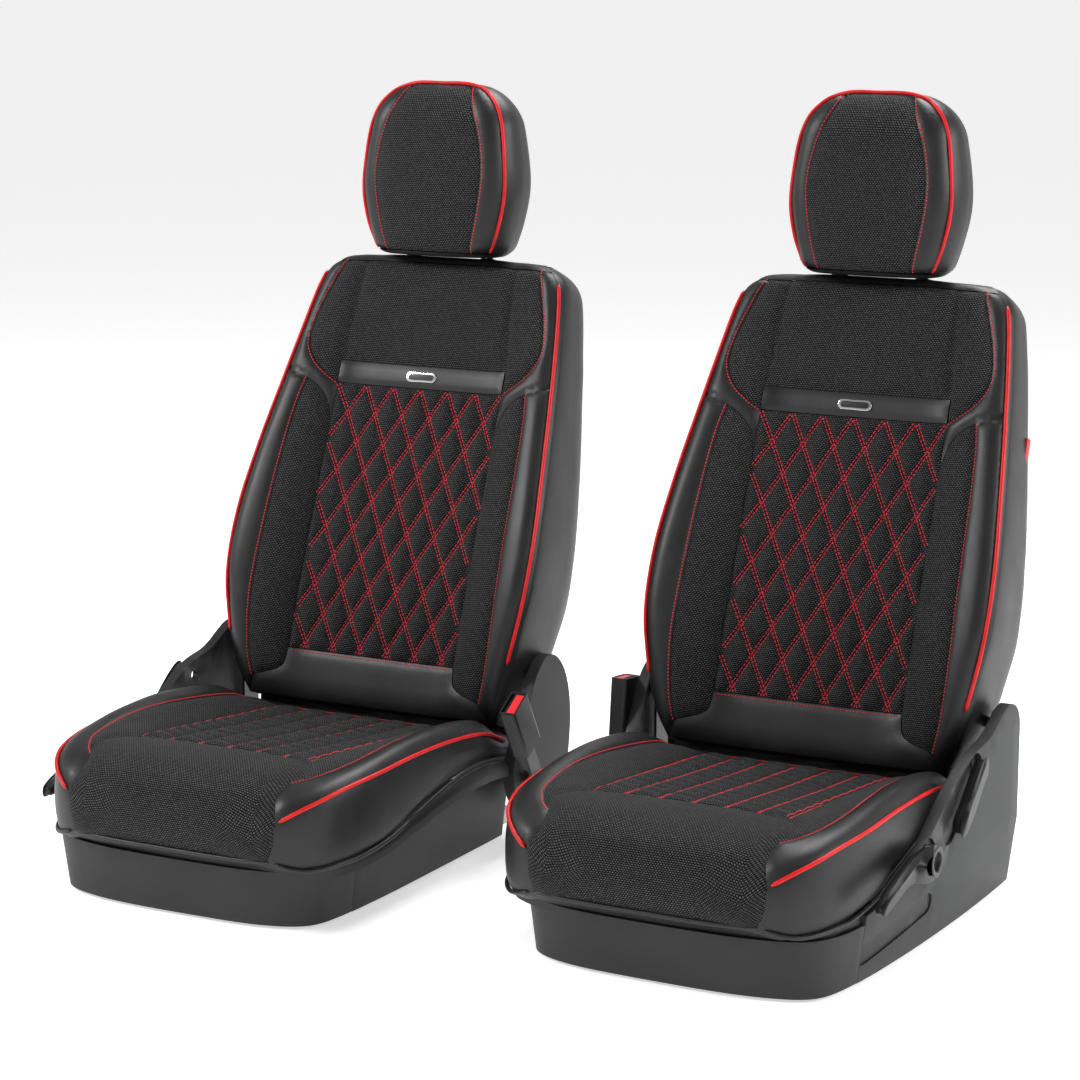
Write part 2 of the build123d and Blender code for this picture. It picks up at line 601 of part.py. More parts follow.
# ---- the whole pair --------------------------------------------------------------------------------------------
def seat_nodes(buckle_lean):
    """Every node of the driver seat, about the seat's own centre."""
    leaning = Location((0, 0, PIVOT_Z), (-LEAN, 0, 0))
    upright = {**headrest_nodes(), **backrest_nodes(), "recliners": recliners()}
    nodes = {name: leaning * shape for name, shape in upright.items()}
    nodes.update(cushion_nodes())
    nodes.update(
        {
            "cushion_frame": cushion_frame(),
            "sliding_rails": sliding_rails(),
            "front_trim": front_trim(),
            "inboard_trim": inboard_trim(),
            "outboard_trim": outboard_trim(),
            "recliner_cover": recliner_cover(),
            "height_lever": height_lever(),
            "recline_lever": recline_lever(),
        }
    )
    nodes.update(buckle_nodes(buckle_lean))
    return nodes


def main():
    """Writes one STEP file for each node."""
    os.makedirs("parts", exist_ok=True)
    driver = Location((SEAT_PITCH / 2, -MIDDLE_Y, 0))
    passenger = Location((-SEAT_PITCH / 2, -MIDDLE_Y - PASSENGER_FORWARD, 0))
    shapes = seat_nodes(DRIVER_BUCKLE_LEAN)
    for name, shape in shapes.items():
        export_step(driver * shape, f"parts/driver_{name}.step")
    shapes.update(buckle_nodes(PASSENGER_BUCKLE_LEAN))
    for name, shape in shapes.items():
        export_step(passenger * mirror(shape, Plane.YZ), f"parts/passenger_{name}.step")
    export_step(floor_rails(), "parts/floor_rails.step")


main()
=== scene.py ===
"""Two front car seats in fitted covers: sewn skins, stitching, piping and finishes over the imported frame.

Shapes are worked out in millimetres about one seat, as in the CAD model: the backrest and the headrest
upright about their own origins, the cushion in place.  Every piece is made for the driver seat and then
mirrored for the passenger seat, apart from the buckles, which lean differently.
"""

import json
import math

import bmesh
import bpy
import numpy as np
from mathutils import Matrix, Vector, noise
from mathutils.bvhtree import BVHTree
from mathutils.geometry import delaunay_2d_cdt


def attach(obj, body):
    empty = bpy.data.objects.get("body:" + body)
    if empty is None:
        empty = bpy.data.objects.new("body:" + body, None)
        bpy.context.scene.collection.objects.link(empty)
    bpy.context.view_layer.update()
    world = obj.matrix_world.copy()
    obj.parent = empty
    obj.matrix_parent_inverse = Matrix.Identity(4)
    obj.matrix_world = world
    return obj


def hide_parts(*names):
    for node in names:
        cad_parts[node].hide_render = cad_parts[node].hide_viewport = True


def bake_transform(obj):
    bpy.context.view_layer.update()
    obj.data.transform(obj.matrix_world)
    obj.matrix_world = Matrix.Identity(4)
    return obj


# ---- where the seats stand, as in the CAD model ----
LEAN, HEAD_TILT = 20.0, 4.0
HEAD_BASE_S, HEAD_BASE_N = 624.0, 46.0

# ---- backrest: knots of (height s, value) ----
BACK_BOTTOM, BACK_TOP = -84.0, 624.0
BACK_HALF_WIDTH = [(-84, 216), (-50, 232), (0, 247), (60, 258), (120, 266), (230, 262), (430, 238),
                   (560, 218), (624, 204)]
BACK_CENTRE = [(-84, 54), (-50, 60), (60, 66), (200, 62), (430, 50), (560, 56), (624, 56)]
BACK_REAR = [(-84, 20), (-56, 46), (0, 64), (60, 70), (300, 74), (624, 64)]
BOLSTER_RISE = [(-84, 6), (-30, 24), (120, 42), (300, 36), (430, 22), (540, 2), (624, -12)]
SHOULDER_ROUND, EDGE_ROUND = 46.0, 26.0
INSERT_HALF = 143.0
QUILT_LOW, QUILT_HIGH, BAND_HIGH = -10.0, 412.0, 446.0
ROLL_START = BACK_TOP - EDGE_ROUND
ROLL_END = ROLL_START + EDGE_ROUND * math.pi / 2  # layout height of the top edge, measured over the roll
MESH_TOP = 612.0  # layout height where the air mesh meets the plain top strip

# ---- cushion: knots of (depth y, value) ----
NOSE_Y, CUSHION_REAR_Y = -612.0, -10.0
CUSHION_BASE_Z = 88.0
CUSHION_HALF_WIDTH = [(-612, 142), (-604, 176), (-585, 206), (-550, 230), (-480, 248), (-360, 254),
                      (-200, 252), (-60, 242), (-10, 226)]
CUSHION_CENTRE = [(-612, 158), (-604, 186), (-585, 204), (-550, 216), (-500, 217), (-400, 205),
                  (-250, 186), (-110, 170), (-70, 163), (-10, 142)]
CUSHION_RISE = [(-612, -14), (-560, -12), (-480, 2), (-380, 22), (-260, 34), (-150, 28), (-90, 6),
                (-10, 2)]
HEM_HEIGHT = [(-600, 90), (-520, 94), (-440, 103), (-370, 120), (-290, 136), (-200, 142), (-120, 134),
              (-10, 110)]
SEAT_QUILT_BACK = -92.0

# ---- headrest: knots of (height, value) ----
HEAD_HEIGHT = 262.0
HEAD_HALF_WIDTH = [(0, 104), (20, 116), (95, 134), (150, 132), (262, 112)]
HEAD_FRONT = [(0, 52), (40, 60), (130, 62), (262, 46)]
HEAD_BACK = [(0, 52), (50, 64), (150, 64), (262, 46)]
HEAD_ROUND, HEAD_FOOT_ROUND = 62.0, 16.0
HEAD_ROLL = 50.0  # mean radius of the headrest's rounded top, for its layout

# ---- sewing ----
PIPING_RADIUS = 2.8
STITCH_PITCH, STITCH_LENGTH, THREAD_RADIUS = 6.2, 4.8, 0.75
DIAMOND_WIDTH, DIAMOND_HEIGHT = 2 * INSERT_HALF / 6, 91.0
ROW_GAP = 2.1  # from a quilting line to each of its two rows of stitches


# ---- levers: y, z of their hubs, and their inner and outer faces ----
LEVER_HUB, LEVER_LENGTH, LEVER_X = (-306.0, 128.0), 196.0, (271.0, 287.0)
RECLINE_HUB, RECLINE_X = (-146.0, 214.0), (282.5, 296.0)


# ---- curves and sections ----
def through(knots, t):
    """The value at t of a smooth curve through (t, value) knots, level past both ends."""
    if t <= knots[0][0]:
        return knots[0][1]
    if t >= knots[-1][0]:
        return knots[-1][1]
    i = max(k for k in range(len(knots) - 1) if knots[k][0] <= t)
    slopes = []
    for k in (i, i + 1):
        before, after = knots[max(k - 1, 0)], knots[min(k + 1, len(knots) - 1)]
        slopes.append((after[1] - before[1]) / (after[0] - before[0]))
    (t0, v0), (t1, v1) = knots[i], knots[i + 1]
    span = t1 - t0
    u = (t - t0) / span
    return (
        v0 * (2 * u**3 - 3 * u**2 + 1)
        + v1 * (3 * u**2 - 2 * u**3)
        + slopes[0] * span * (u**3 - 2 * u**2 + u)
        + slopes[1] * span * (u**3 - u**2)
    )


def round_inset(distance_from_end, radius):
    """How far a rounded end has drawn in at this distance from its tip."""
    if distance_from_end >= radius:
        return 0.0
    rise = 1 - max(distance_from_end, 0.0) / radius
    return radius * (1 - math.sqrt(max(0.0, 1 - rise * rise)))


def smooth_run(points, per_span):
    """A smooth curve through the points, sampled per_span times between each two."""
    knots = [np.array(p, dtype=float) for p in points]
    at = [0.0]
    for a, b in zip(knots, knots[1:]):
        at.append(at[-1] + max(float(np.linalg.norm(b - a)), 1e-6))
    last = len(knots) - 1
    run = []
    for i in range(last):
        span = at[i + 1] - at[i]
        ends = []
        for k in (i, i + 1):
            lo, hi = max(k - 1, 0), min(k + 1, last)
            ends.append((knots[hi] - knots[lo]) / (at[hi] - at[lo]))
        for j in range(per_span):
            u = j / per_span
            run.append(
                knots[i] * (2 * u**3 - 3 * u**2 + 1)
                + knots[i + 1] * (3 * u**2 - 2 * u**3)
                + ends[0] * span * (u**3 - 2 * u**2 + u)
                + ends[1] * span * (u**3 - u**2)
            )
    run.append(knots[-1])
    return run


def evenly(points, step):
    """The polyline's points moved to even spacing of about step, ends kept."""
    points = [np.array(p, dtype=float) for p in points]
    at = [0.0]
    for a, b in zip(points, points[1:]):
        at.append(at[-1] + float(np.linalg.norm(b - a)))
    count = max(1, round(at[-1] / step))
    even, k = [], 0
    for j in range(count + 1):
        target = at[-1] * j / count
        while k < len(points) - 2 and at[k + 1] < target:
            k += 1
        share = (target - at[k]) / max(at[k + 1] - at[k], 1e-9)
        even.append(points[k] + (points[k + 1] - points[k]) * min(max(share, 0.0), 1.0))
    return even


def seam(points, step=5.0, curved=True):
    """A seam line in a layout, evenly sampled."""
    run = smooth_run(points, 12) if curved and len(points) > 2 else points
    return [tuple(p) for p in evenly(run, step)]


def flipped(line):
    """The same seam on the left-hand side, running the same way."""
    return [(-x, v) for x, v in line]


def backrest_section(s):
    """The right half of the backrest's outline at height s."""
    w = through(BACK_HALF_WIDTH, s) - round_inset(BACK_TOP - s, SHOULDER_ROUND)
    edge = round_inset(BACK_TOP - s, EDGE_ROUND)
    front, rear = through(BACK_CENTRE, s) - edge, through(BACK_REAR, s) - edge
    rise = through(BOLSTER_RISE, s)
    channel = 0.53 * w
    crest = w - 26
    return [
        (0, -front, s),
        (0.6 * channel, -front, s),
        (channel, -front - 0.12 * rise, s),
        ((channel + crest) / 2, -front - 0.72 * rise, s),
        (crest, -front - rise, s),
        (w - 5, -front - rise + 7, s),
        (w, -front - rise + 20, s),
        (w + 1, -0.2 * front, s),
        (w - 4, 0.55 * rear, s),
        (w - 24, 0.93 * rear, s),
        (0.62 * w, rear, s),
        (0, rear, s),
    ]


def cushion_section(y):
    """The right half of the cushion's outline at depth y."""
    w = through(CUSHION_HALF_WIDTH, y)
    top = through(CUSHION_CENTRE, y)
    rise = through(CUSHION_RISE, y)
    nose = max(0.0, (-590 - y) / 22)
    hem = through(HEM_HEIGHT, y) + 16 * nose
    belly = CUSHION_BASE_Z + 16 * nose
    shoulder = top + 0.8 * rise
    return [
        (0, y, top),
        (0.42 * w, y, top),
        (0.58 * w, y, top + 0.15 * rise),
        (w - 40, y, top + 0.9 * rise),
        (w - 20, y, top + rise - 2),
        (w - 4, y, shoulder - 12),
        (w, y, (shoulder + hem) / 2),
        (w - 4, y, hem + 10),
        (w - 18, y, hem),
        (0.8 * w, y, hem + 1),
        (0.62 * w, y, belly + 2),
        (0, y, belly),
    ]


def headrest_section(z):
    """The right half of the headrest's outline at height z."""
    drawn = round_inset(HEAD_HEIGHT - z, HEAD_ROUND) + round_inset(z, HEAD_FOOT_ROUND)
    w = through(HEAD_HALF_WIDTH, z) - drawn
    front, back = through(HEAD_FRONT, z) - 0.6 * drawn, through(HEAD_BACK, z) - 0.6 * drawn
    return [
        (0, -front, z),
        (0.45 * w, -front + 2, z),
        (0.77 * w, -0.84 * front, z),
        (0.92 * w, -0.6 * front, z),
        (0.985 * w, -0.24 * front, z),
        (w, 0.1 * back, z),
        (0.95 * w, 0.6 * back, z),
        (0.74 * w, 0.92 * back, z),
        (0.35 * w, back, z),
        (0, back, z),
    ]


def mirrored(points):
    """The same points on the left-hand side, in reverse order."""
    return [(-x, y, z) for x, y, z in reversed(points)]


# ---- layouts: flat coordinates to places on the padding ----
def back_height(v):
    """Height s of a layout height v, which is measured over the rolled top edge."""
    if v <= ROLL_START:
        return v
    return ROLL_START + EDGE_ROUND * math.sin(min((v - ROLL_START) / EDGE_ROUND, math.pi / 2))


def back_edge(v):
    """Half width of the backrest's front at layout height v, out to the piping seam."""
    return backrest_section(back_height(v))[5][0]


def back_front(x, v):
    """A point of the backrest's front."""
    s = back_height(v)
    knots = [(px, py) for px, py, _ in backrest_section(s)[:6]]
    return (x, through(knots, abs(x)), s)


def nose_line(x):
    """The depth y of the cushion's front edge at x, round the corners."""
    lo, hi = NOSE_Y, -400.0
    if abs(x) <= through(CUSHION_HALF_WIDTH, lo) - 4:
        return lo
    for _ in range(30):
        middle = (lo + hi) / 2
        if through(CUSHION_HALF_WIDTH, middle) - 4 < abs(x):
            lo = middle
        else:
            hi = middle
    return lo


def seat_top(x, y):
    """A point of the cushion's top."""
    knots = [(px, pz) for px, _, pz in cushion_section(y)[:6]]
    return (x, y, through(knots, abs(x)))


def crown_runs():
    """Depths y along the cushion's middle with the length of its top measured from the nose."""
    runs, length, last = [], 0.0, None
    for k in range(0, 301):
        y = NOSE_Y + k
        z = through(CUSHION_CENTRE, y)
        if last:
            length += math.hypot(y - last[0], z - last[1])
        runs.append((y, length))
        last = (y, z)
    return runs


CROWN_RUNS = crown_runs()


def crown_length(y):
    """Length over the top from the nose back to depth y."""
    return through(CROWN_RUNS[max(int(y - NOSE_Y) - 1, 0):int(y - NOSE_Y) + 3], y)


def crown_depth(length):
    """The depth y at this length over the top from the nose."""
    k = min(range(len(CROWN_RUNS)), key=lambda i: abs(CROWN_RUNS[i][1] - length))
    near = [(run, y) for y, run in CROWN_RUNS[max(k - 2, 0):k + 3]]
    return through(near, length)


def nose_layout(x, y):
    """Layout height of a point of the cushion's top in the nose panel's own layout."""
    return crown_length(y) - crown_length(nose_line(x))


def seat_nose(x, v):
    """A point of the nose panel: v below 0 runs down its front face and v above 0 back over the top."""
    edge = nose_line(x)
    if v >= 0:
        return seat_top(x, crown_depth(crown_length(edge) + v))
    _, y, z = seat_top(x, edge)
    depth = -v / NOSE_DROP
    low = CUSHION_BASE_Z + 17
    return (x, y - 3 * math.sin(math.pi * min(depth, 1.0)), z + (low - z) * depth)


def head_height(v):
    """Height of a layout height v, which is measured over the headrest's rounded top."""
    start = HEAD_HEIGHT - HEAD_ROUND
    if v <= start:
        return v
    return start + HEAD_ROUND * math.sin(min((v - start) / HEAD_ROLL, math.pi / 2))


def head_edge(v):
    """Half width of the headrest's front at layout height v, out to the piping seam."""
    return headrest_section(head_height(v))[3][0]


def head_front(x, v):
    """A point of the headrest's front."""
    z = head_height(v)
    knots = [(px, py) for px, py, _ in headrest_section(z)[:4]]
    return (x, through(knots, abs(x)), z)


NOSE_DROP = 54.0  # layout length of the nose panel's front face
HEAD_TOP = HEAD_HEIGHT - HEAD_ROUND + HEAD_ROLL * math.pi / 2 * 0.93  # layout height of the top piping


# ---- sewn skins ----
class Skin:
    """Points, faces and layout coordinates of one sewn piece, in millimetres."""

    def __init__(self):
        self.points, self.faces, self.layout = [], [], []

    def add(self, points, faces, layout):
        """Adds a sheet, which may share its edge with the sheets already there."""
        start = len(self.points)
        self.points += [tuple(p) for p in points]
        self.faces += [tuple(start + i for i in face) for face in faces]
        self.layout += [tuple(p) for p in layout]


def sheet_normals(points, faces):
    """Vertex normals of a sheet of triangles or quads."""
    normals = np.zeros_like(points)
    for face in faces:
        a, b, c = points[face[0]], points[face[1]], points[face[2]]
        across = np.cross(b - a, c - a)
        if len(face) == 4:
            across = across + np.cross(c - a, points[face[3]] - a)
        for i in face:
            normals[i] += across
    lengths = np.linalg.norm(normals, axis=1)
    return normals / np.maximum(lengths, 1e-9)[:, None]


def edge_distance(flat, outline):
    """Distance from each flat point to the outline, and how far along the outline its foot lies."""
    start = np.array(outline)
    end = np.roll(start, -1, axis=0)
    run = end - start
    length = np.linalg.norm(run, axis=1)
    before = np.concatenate([[0.0], np.cumsum(length)[:-1]])
    nearest = np.full(len(flat), 1e9)
    along = np.zeros(len(flat))
    for k in range(len(start)):
        t = ((flat - start[k]) @ run[k]) / max(length[k] ** 2, 1e-9)
        t = np.clip(t, 0, 1)
        gap = np.linalg.norm(flat - start[k] - t[:, None] * run[k], axis=1)
        closer = gap < nearest
        nearest[closer] = gap[closer]
        along[closer] = before[k] + t[closer] * length[k]
    return nearest, along


def soft_bumps(x, v, seed, size):
    """Slow unevenness of stuffed cloth, between -1 and 1."""
    return noise.noise(Vector((x / size, v / size, seed)))


def padded_profile(sink, puff, reach, pucker=0.5, unevenness=0.8, seed=1.0):
    """How far stuffed cloth stands off the pad: drawn in at its seams and puffed up between them."""

    def offset(flat, gap, along):
        lift = -sink + (sink + puff) * (1 - np.exp(-gap / reach))
        ripple = pucker * np.exp(-gap / 9.0) * (1 - np.exp(-gap / 2.5))
        for i, (x, v) in enumerate(flat):
            wave = math.sin(along[i] * 0.47 + 3 * soft_bumps(along[i], seed, seed, 60.0))
            lift[i] += ripple[i] * wave
            lift[i] += unevenness * soft_bumps(x, v, seed, 55.0) * (1 - math.exp(-gap[i] / 12))
        return lift

    return offset


def channel(gap, width):
    """Height of a quilted cell at this distance from a quilting line, from 0 to 1."""
    return 1 - np.exp(-np.maximum(gap - 0.6, 0) / width)


def diamond_gaps(x, v):
    """Distance to the nearest quilting line of each of the two slanted families."""
    lean = math.sin(math.atan2(DIAMOND_HEIGHT, DIAMOND_WIDTH)) * DIAMOND_WIDTH
    across, down = (x + INSERT_HALF) / DIAMOND_WIDTH, (QUILT_HIGH - v) / DIAMOND_HEIGHT
    gaps = []
    for turn in (across + down, across - down):
        gaps.append(np.abs(turn - np.round(turn)) * lean)
    return gaps


def back_quilt_profile(flat, gap, along):
    """Diamond quilting of the backrest insert."""
    one, other = diamond_gaps(flat[:, 0], flat[:, 1])
    lift = -4.6 + 11.5 * channel(one, 7.5) * channel(other, 7.5) * (1 - np.exp(-gap / 5))
    for i, (x, v) in enumerate(flat):
        lift[i] += 0.5 * soft_bumps(x, v, 4.0, 24.0)
    return lift


def seat_cross_lines(x, y):
    """Distance to the nearest of the cushion insert's cross lines, which bow between the long ones."""
    share = ((x + INSERT_HALF) / DIAMOND_WIDTH) % 1.0
    bow = 9.0 * np.abs(share - 0.5) * 2
    turn = (y + bow) / CROSS_PITCH
    return np.abs(turn - np.round(turn)) * CROSS_PITCH


CROSS_PITCH = 31.0


def seat_quilt_profile(flat, gap, along):
    """Quilting of the cushion insert: long double lines with bowed cross lines between them."""
    turn = (flat[:, 0] + INSERT_HALF) / DIAMOND_WIDTH
    long_gap = np.abs(turn - np.round(turn)) * DIAMOND_WIDTH
    cross_gap = seat_cross_lines(flat[:, 0], flat[:, 1])
    cells = channel(long_gap, 6.0) * (0.45 + 0.55 * channel(cross_gap, 4.5))
    lift = -4.2 + 9.5 * cells * (1 - np.exp(-gap / 5))
    for i, (x, v) in enumerate(flat):
        lift[i] += 0.5 * soft_bumps(x, v, 7.0, 26.0)
    return lift


def panel(skin, outline, surface, profile, spacing=6.0):
    """Sews a panel with this flat outline into the skin."""
    border = [tuple(p) for p in outline]
    xs, vs = [p[0] for p in border], [p[1] for p in border]
    inside = []
    rows = int((max(vs) - min(vs)) / (spacing * 0.87)) + 1
    columns = int((max(xs) - min(xs)) / spacing) + 2
    for j in range(1, rows + 1):
        for i in range(columns):
            x = min(xs) + (i + 0.5 * (j % 2)) * spacing
            inside.append((x, min(vs) + j * spacing * 0.87))
    grid = np.array(inside)
    gap, _ = edge_distance(grid, border)
    grid = grid[gap > 0.55 * spacing]
    count = len(border)
    flat = [Vector(p) for p in border] + [Vector(p) for p in grid]
    ring = [(i, (i + 1) % count) for i in range(count)]
    made = delaunay_2d_cdt(flat, ring, [], 1, 1e-4)
    flat = np.array([(p.x, p.y) for p in made[0]])
    faces = [tuple(f) for f in made[2]]
    used = sorted({i for f in faces for i in f})
    renumber = {old: new for new, old in enumerate(used)}
    flat = flat[used]
    faces = [tuple(renumber[i] for i in f) for f in faces]
    points = np.array([surface(x, v) for x, v in flat], dtype=float)
    gap, along = edge_distance(flat, border)
    lift = profile(flat, gap, along)
    points = points + sheet_normals(points, faces) * lift[:, None]
    skin.add(points, faces, flat)


def grid_sheet(skin, rows, ends_sink=0.0, seam_columns=(), seam_sink=2.2, reach=7.0,
               unevenness=0.6, seed=2.0):
    """Sews rows of points into the skin, drawn in along the columns and ends that are seams."""
    points = np.array(rows, dtype=float)
    high, wide, _ = points.shape
    faces = []
    for j in range(high - 1):
        for i in range(wide - 1):
            a = j * wide + i
            faces.append((a, a + 1, a + wide + 1, a + wide))
    across = np.zeros((high, wide))
    across[:, 1:] = np.cumsum(np.linalg.norm(np.diff(points, axis=1), axis=2), axis=1)
    up = np.zeros((high, wide))
    up[1:] = np.cumsum(np.linalg.norm(np.diff(points, axis=0), axis=2), axis=0)
    lift = np.zeros((high, wide))
    for column in seam_columns:
        gap = np.abs(across - across[:, column:column + 1])
        lift -= seam_sink * np.exp(-gap / reach)
    if ends_sink:
        lift -= ends_sink * np.exp(-up / reach)
    for j in range(high):
        for i in range(wide):
            x, y, z = points[j, i]
            lift[j, i] += unevenness * noise.noise(Vector((x / 50, y / 50, z / 50 + seed)))
    flat = points.reshape(-1, 3)
    normals = sheet_normals(flat, faces)
    flat = flat + normals * lift.reshape(-1)[:, None]
    skin.add(flat, faces, list(zip(across.reshape(-1), up.reshape(-1))))


# ---- turning skins into objects ----
def placed(matrix, points):
    """Points in the shared frame, in metres, from millimetres in a seat's own frame."""
    return [(matrix @ Vector(p)) * 0.001 for p in points]


def new_object(name, points, faces, layout=None, smooth=True):
    """A mesh object in the shared frame, with its layout in millimetres as its UV map."""
    mesh = bpy.data.meshes.new(name)
    mesh.from_pydata([tuple(p) for p in points], [], faces)
    if layout:
        uv = mesh.uv_layers.new(name="layout")
        for loop in mesh.loops:
            u, v = layout[loop.vertex_index]
            uv.data[loop.index].uv = (u / 100, v / 100)
    obj = bpy.data.objects.new(name, mesh)
    bpy.context.scene.collection.objects.link(obj)
    if smooth:
        mesh.polygons.foreach_set("use_smooth", [True] * len(mesh.polygons))
    return obj


def weld(obj, distance):
    """Joins points of sheets that share an edge."""
    work = bmesh.new()
    work.from_mesh(obj.data)
    bmesh.ops.remove_doubles(work, verts=work.verts, dist=distance)
    work.to_mesh(obj.data)
    work.free()


def finish_piece(obj, who, body, material):
    """Rides the piece on its body and gives it a finish."""
    obj.data.materials.clear()
    obj.data.materials.append(material)
    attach(obj, f"{who}_{body}")


def passenger_twin(obj):
    """A mirrored copy for the passenger seat, which stands a little further forward."""
    twin = bpy.data.objects.new(obj.name.replace("driver_", "passenger_", 1), obj.data.copy())
    bpy.context.scene.collection.objects.link(twin)
    for vertex in twin.data.vertices:
        x, y, z = vertex.co
        vertex.co = (PASSENGER_X + DRIVER_X - x, y + PASSENGER_Y - DRIVER_Y, z)
    twin.data.flip_normals()
    return twin


def both_seats(obj, body, material, replaces=()):
    """Finishes a driver piece and its passenger twin."""
    twin = passenger_twin(obj)
    for who, piece in (("driver", obj), ("passenger", twin)):
        finish_piece(piece, who, body, material)
        if replaces:
            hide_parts(*[f"{who}_{node}" for node in replaces])
    return obj


def skin_object(name, skin, matrix):
    """The object of a sewn skin, welded where its sheets meet."""
    obj = new_object(name, placed(matrix, skin.points), skin.faces, skin.layout)
    weld(obj, 0.0004)
    return obj


# ---- thread and piping ----
def cloth_surface(skins):
    """One search tree over several skins, for laying thread on them."""
    points, faces = [], []
    for skin in skins:
        start = len(points)
        points += skin.points
        faces += [tuple(start + i for i in face) for face in skin.faces]
    return BVHTree.FromPolygons([Vector(p) for p in points], faces)


def touch(tree, surface, x, v):
    """The point of the finished cloth over a layout point, and the cloth's outward direction there."""
    here = Vector(surface(x, v))
    along_x = Vector(surface(x + 0.5, v)) - here
    along_v = Vector(surface(x, v + 0.5)) - here
    out = along_x.cross(along_v).normalized()
    hit = tree.ray_cast(here + out * 18, -out, 40)
    return (hit[0] if hit[0] else here), out


def stitch(start, end, out, radius):
    """Points and faces of one stitch: a thread that rises from the cloth and dips back into it."""
    run = end - start
    side = run.cross(out).normalized()
    points, faces = [], []
    sides = 6
    for share, size, lift in ((0, 0.45, -0.5), (0.2, 1, 0.55), (0.8, 1, 0.55), (1, 0.45, -0.5)):
        centre = start + run * share + out * radius * lift
        for k in range(sides):
            turn = 2 * math.pi * k / sides
            spoke = side * math.cos(turn) + out * math.sin(turn)
            points.append(centre + spoke * radius * size)
    for ring in range(3):
        for k in range(sides):
            a, b = ring * sides + k, ring * sides + (k + 1) % sides
            faces.append((a, a + sides, b + sides, b))
    faces.append(tuple(range(sides)))
    faces.append(tuple(reversed(range(3 * sides, 4 * sides))))
    return points, faces


def sew(thread, tree, surface, line, shift=0.0, pitch=STITCH_PITCH, length=STITCH_LENGTH):
    """Adds a row of stitches along a layout line, moved sideways by shift."""
    line = [np.array(p, dtype=float) for p in line]
    at = [0.0]
    for a, b in zip(line, line[1:]):
        at.append(at[-1] + float(np.linalg.norm(b - a)))

    def spot(distance):
        k = 0
        while k < len(line) - 2 and at[k + 1] < distance:
            k += 1
        run = (line[k + 1] - line[k]) / max(at[k + 1] - at[k], 1e-9)
        place = line[k] + run * (distance - at[k])
        return place + shift * np.array((-run[1], run[0]))

    count = int(at[-1] / pitch)
    for n in range(count):
        middle = (n + 0.5) * at[-1] / max(count, 1)
        first, last = spot(middle - length / 2), spot(middle + length / 2)
        start, out = touch(tree, surface, *first)
        end, _ = touch(tree, surface, *last)
        if (end - start).length > 2 * length:
            continue
        points, faces = stitch(start, end, out, THREAD_RADIUS)
        thread.add(points, faces, [(0, 0)] * len(points))


def tube(points, radius, sides=12, tuck=0.35):
    """Points and faces of a round cord whose ends narrow into the seam."""
    points = [Vector(p) for p in points]
    rings, faces = [], []
    side = None
    for i, here in enumerate(points):
        run = (points[min(i + 1, len(points) - 1)] - points[max(i - 1, 0)]).normalized()
        if side is None:
            side = run.orthogonal().normalized()
        side = (side - run * side.dot(run)).normalized()
        up = run.cross(side)
        size = radius * (tuck if i in (0, len(points) - 1) else 1)
        for k in range(sides):
            turn = 2 * math.pi * k / sides
            rings.append(here + (side * math.cos(turn) + up * math.sin(turn)) * size)
    for i in range(len(points) - 1):
        for k in range(sides):
            a, b = i * sides + k, i * sides + (k + 1) % sides
            faces.append((a, b, b + sides, a + sides))
    faces.append(tuple(reversed(range(sides))))
    faces.append(tuple(range((len(points) - 1) * sides, len(points) * sides)))
    return rings, faces


def cord_object(name, runs, matrix, radius, step=6.0):
    """One object of round cords along smooth runs of points."""
    skin = Skin()
    for run in runs:
        line = evenly(smooth_run(run, 10), step)
        points, faces = tube(line, radius)
        skin.add(points, faces, [(0, 0)] * len(points))
    return new_object(name, placed(matrix, skin.points), skin.faces)


def thread_object(name, thread, matrix):
    """The object of many stitches."""
    return new_object(name, placed(matrix, thread.points), thread.faces)


# ---- backrest ----
def joined(*lines):
    """One closed outline from lines that meet end to end."""
    outline = []
    for line in lines:
        outline += line if not outline else line[1:]
    return outline[:-1]


def edge_seam(edge, low, high, step=5.0):
    """The piping seam of a layout between two heights, on the right."""
    count = max(2, round((high - low) / step))
    return [(edge(low + (high - low) * k / count), low + (high - low) * k / count) for k in range(count + 1)]


def back_seams():
    """The backrest's seam lines on the right, in layout coordinates from the bottom up or inside out."""
    branch_v = 428.0
    return {
        "branch_v": branch_v,
        "centre_top": seam([(143, BAND_HIGH), (137, 520), (129, MESH_TOP)]),
        "shoulder": seam([(143, 412), (160, 422), (183, 440), (198, 462), (203, 486), (198, 520), (186, 560),
                          (168, MESH_TOP)]),
        "branch": seam([(143, 350), (151, 378), (166, 398), (190, 413), (back_edge(branch_v), branch_v)]),
        "bolster": seam([(190, 413), (197, 370), (203, 280), (207, 160), (209, 60), (204, -20), (196, -60)]),
        "quilt_low": seam([(0, QUILT_LOW), (INSERT_HALF, QUILT_LOW)], curved=False),
        "quilt_side_low": seam([(143, QUILT_LOW), (143, 350)], curved=False),
        "quilt_side_high": seam([(143, 350), (143, QUILT_HIGH)], curved=False),
        "band_side": seam([(143, QUILT_HIGH), (143, BAND_HIGH)], curved=False),
        "mesh_top": seam([(129, MESH_TOP), (168, MESH_TOP)], curved=False),
        "strip_top": seam([(168, MESH_TOP), (back_edge(MESH_TOP), MESH_TOP)], curved=False),
    }


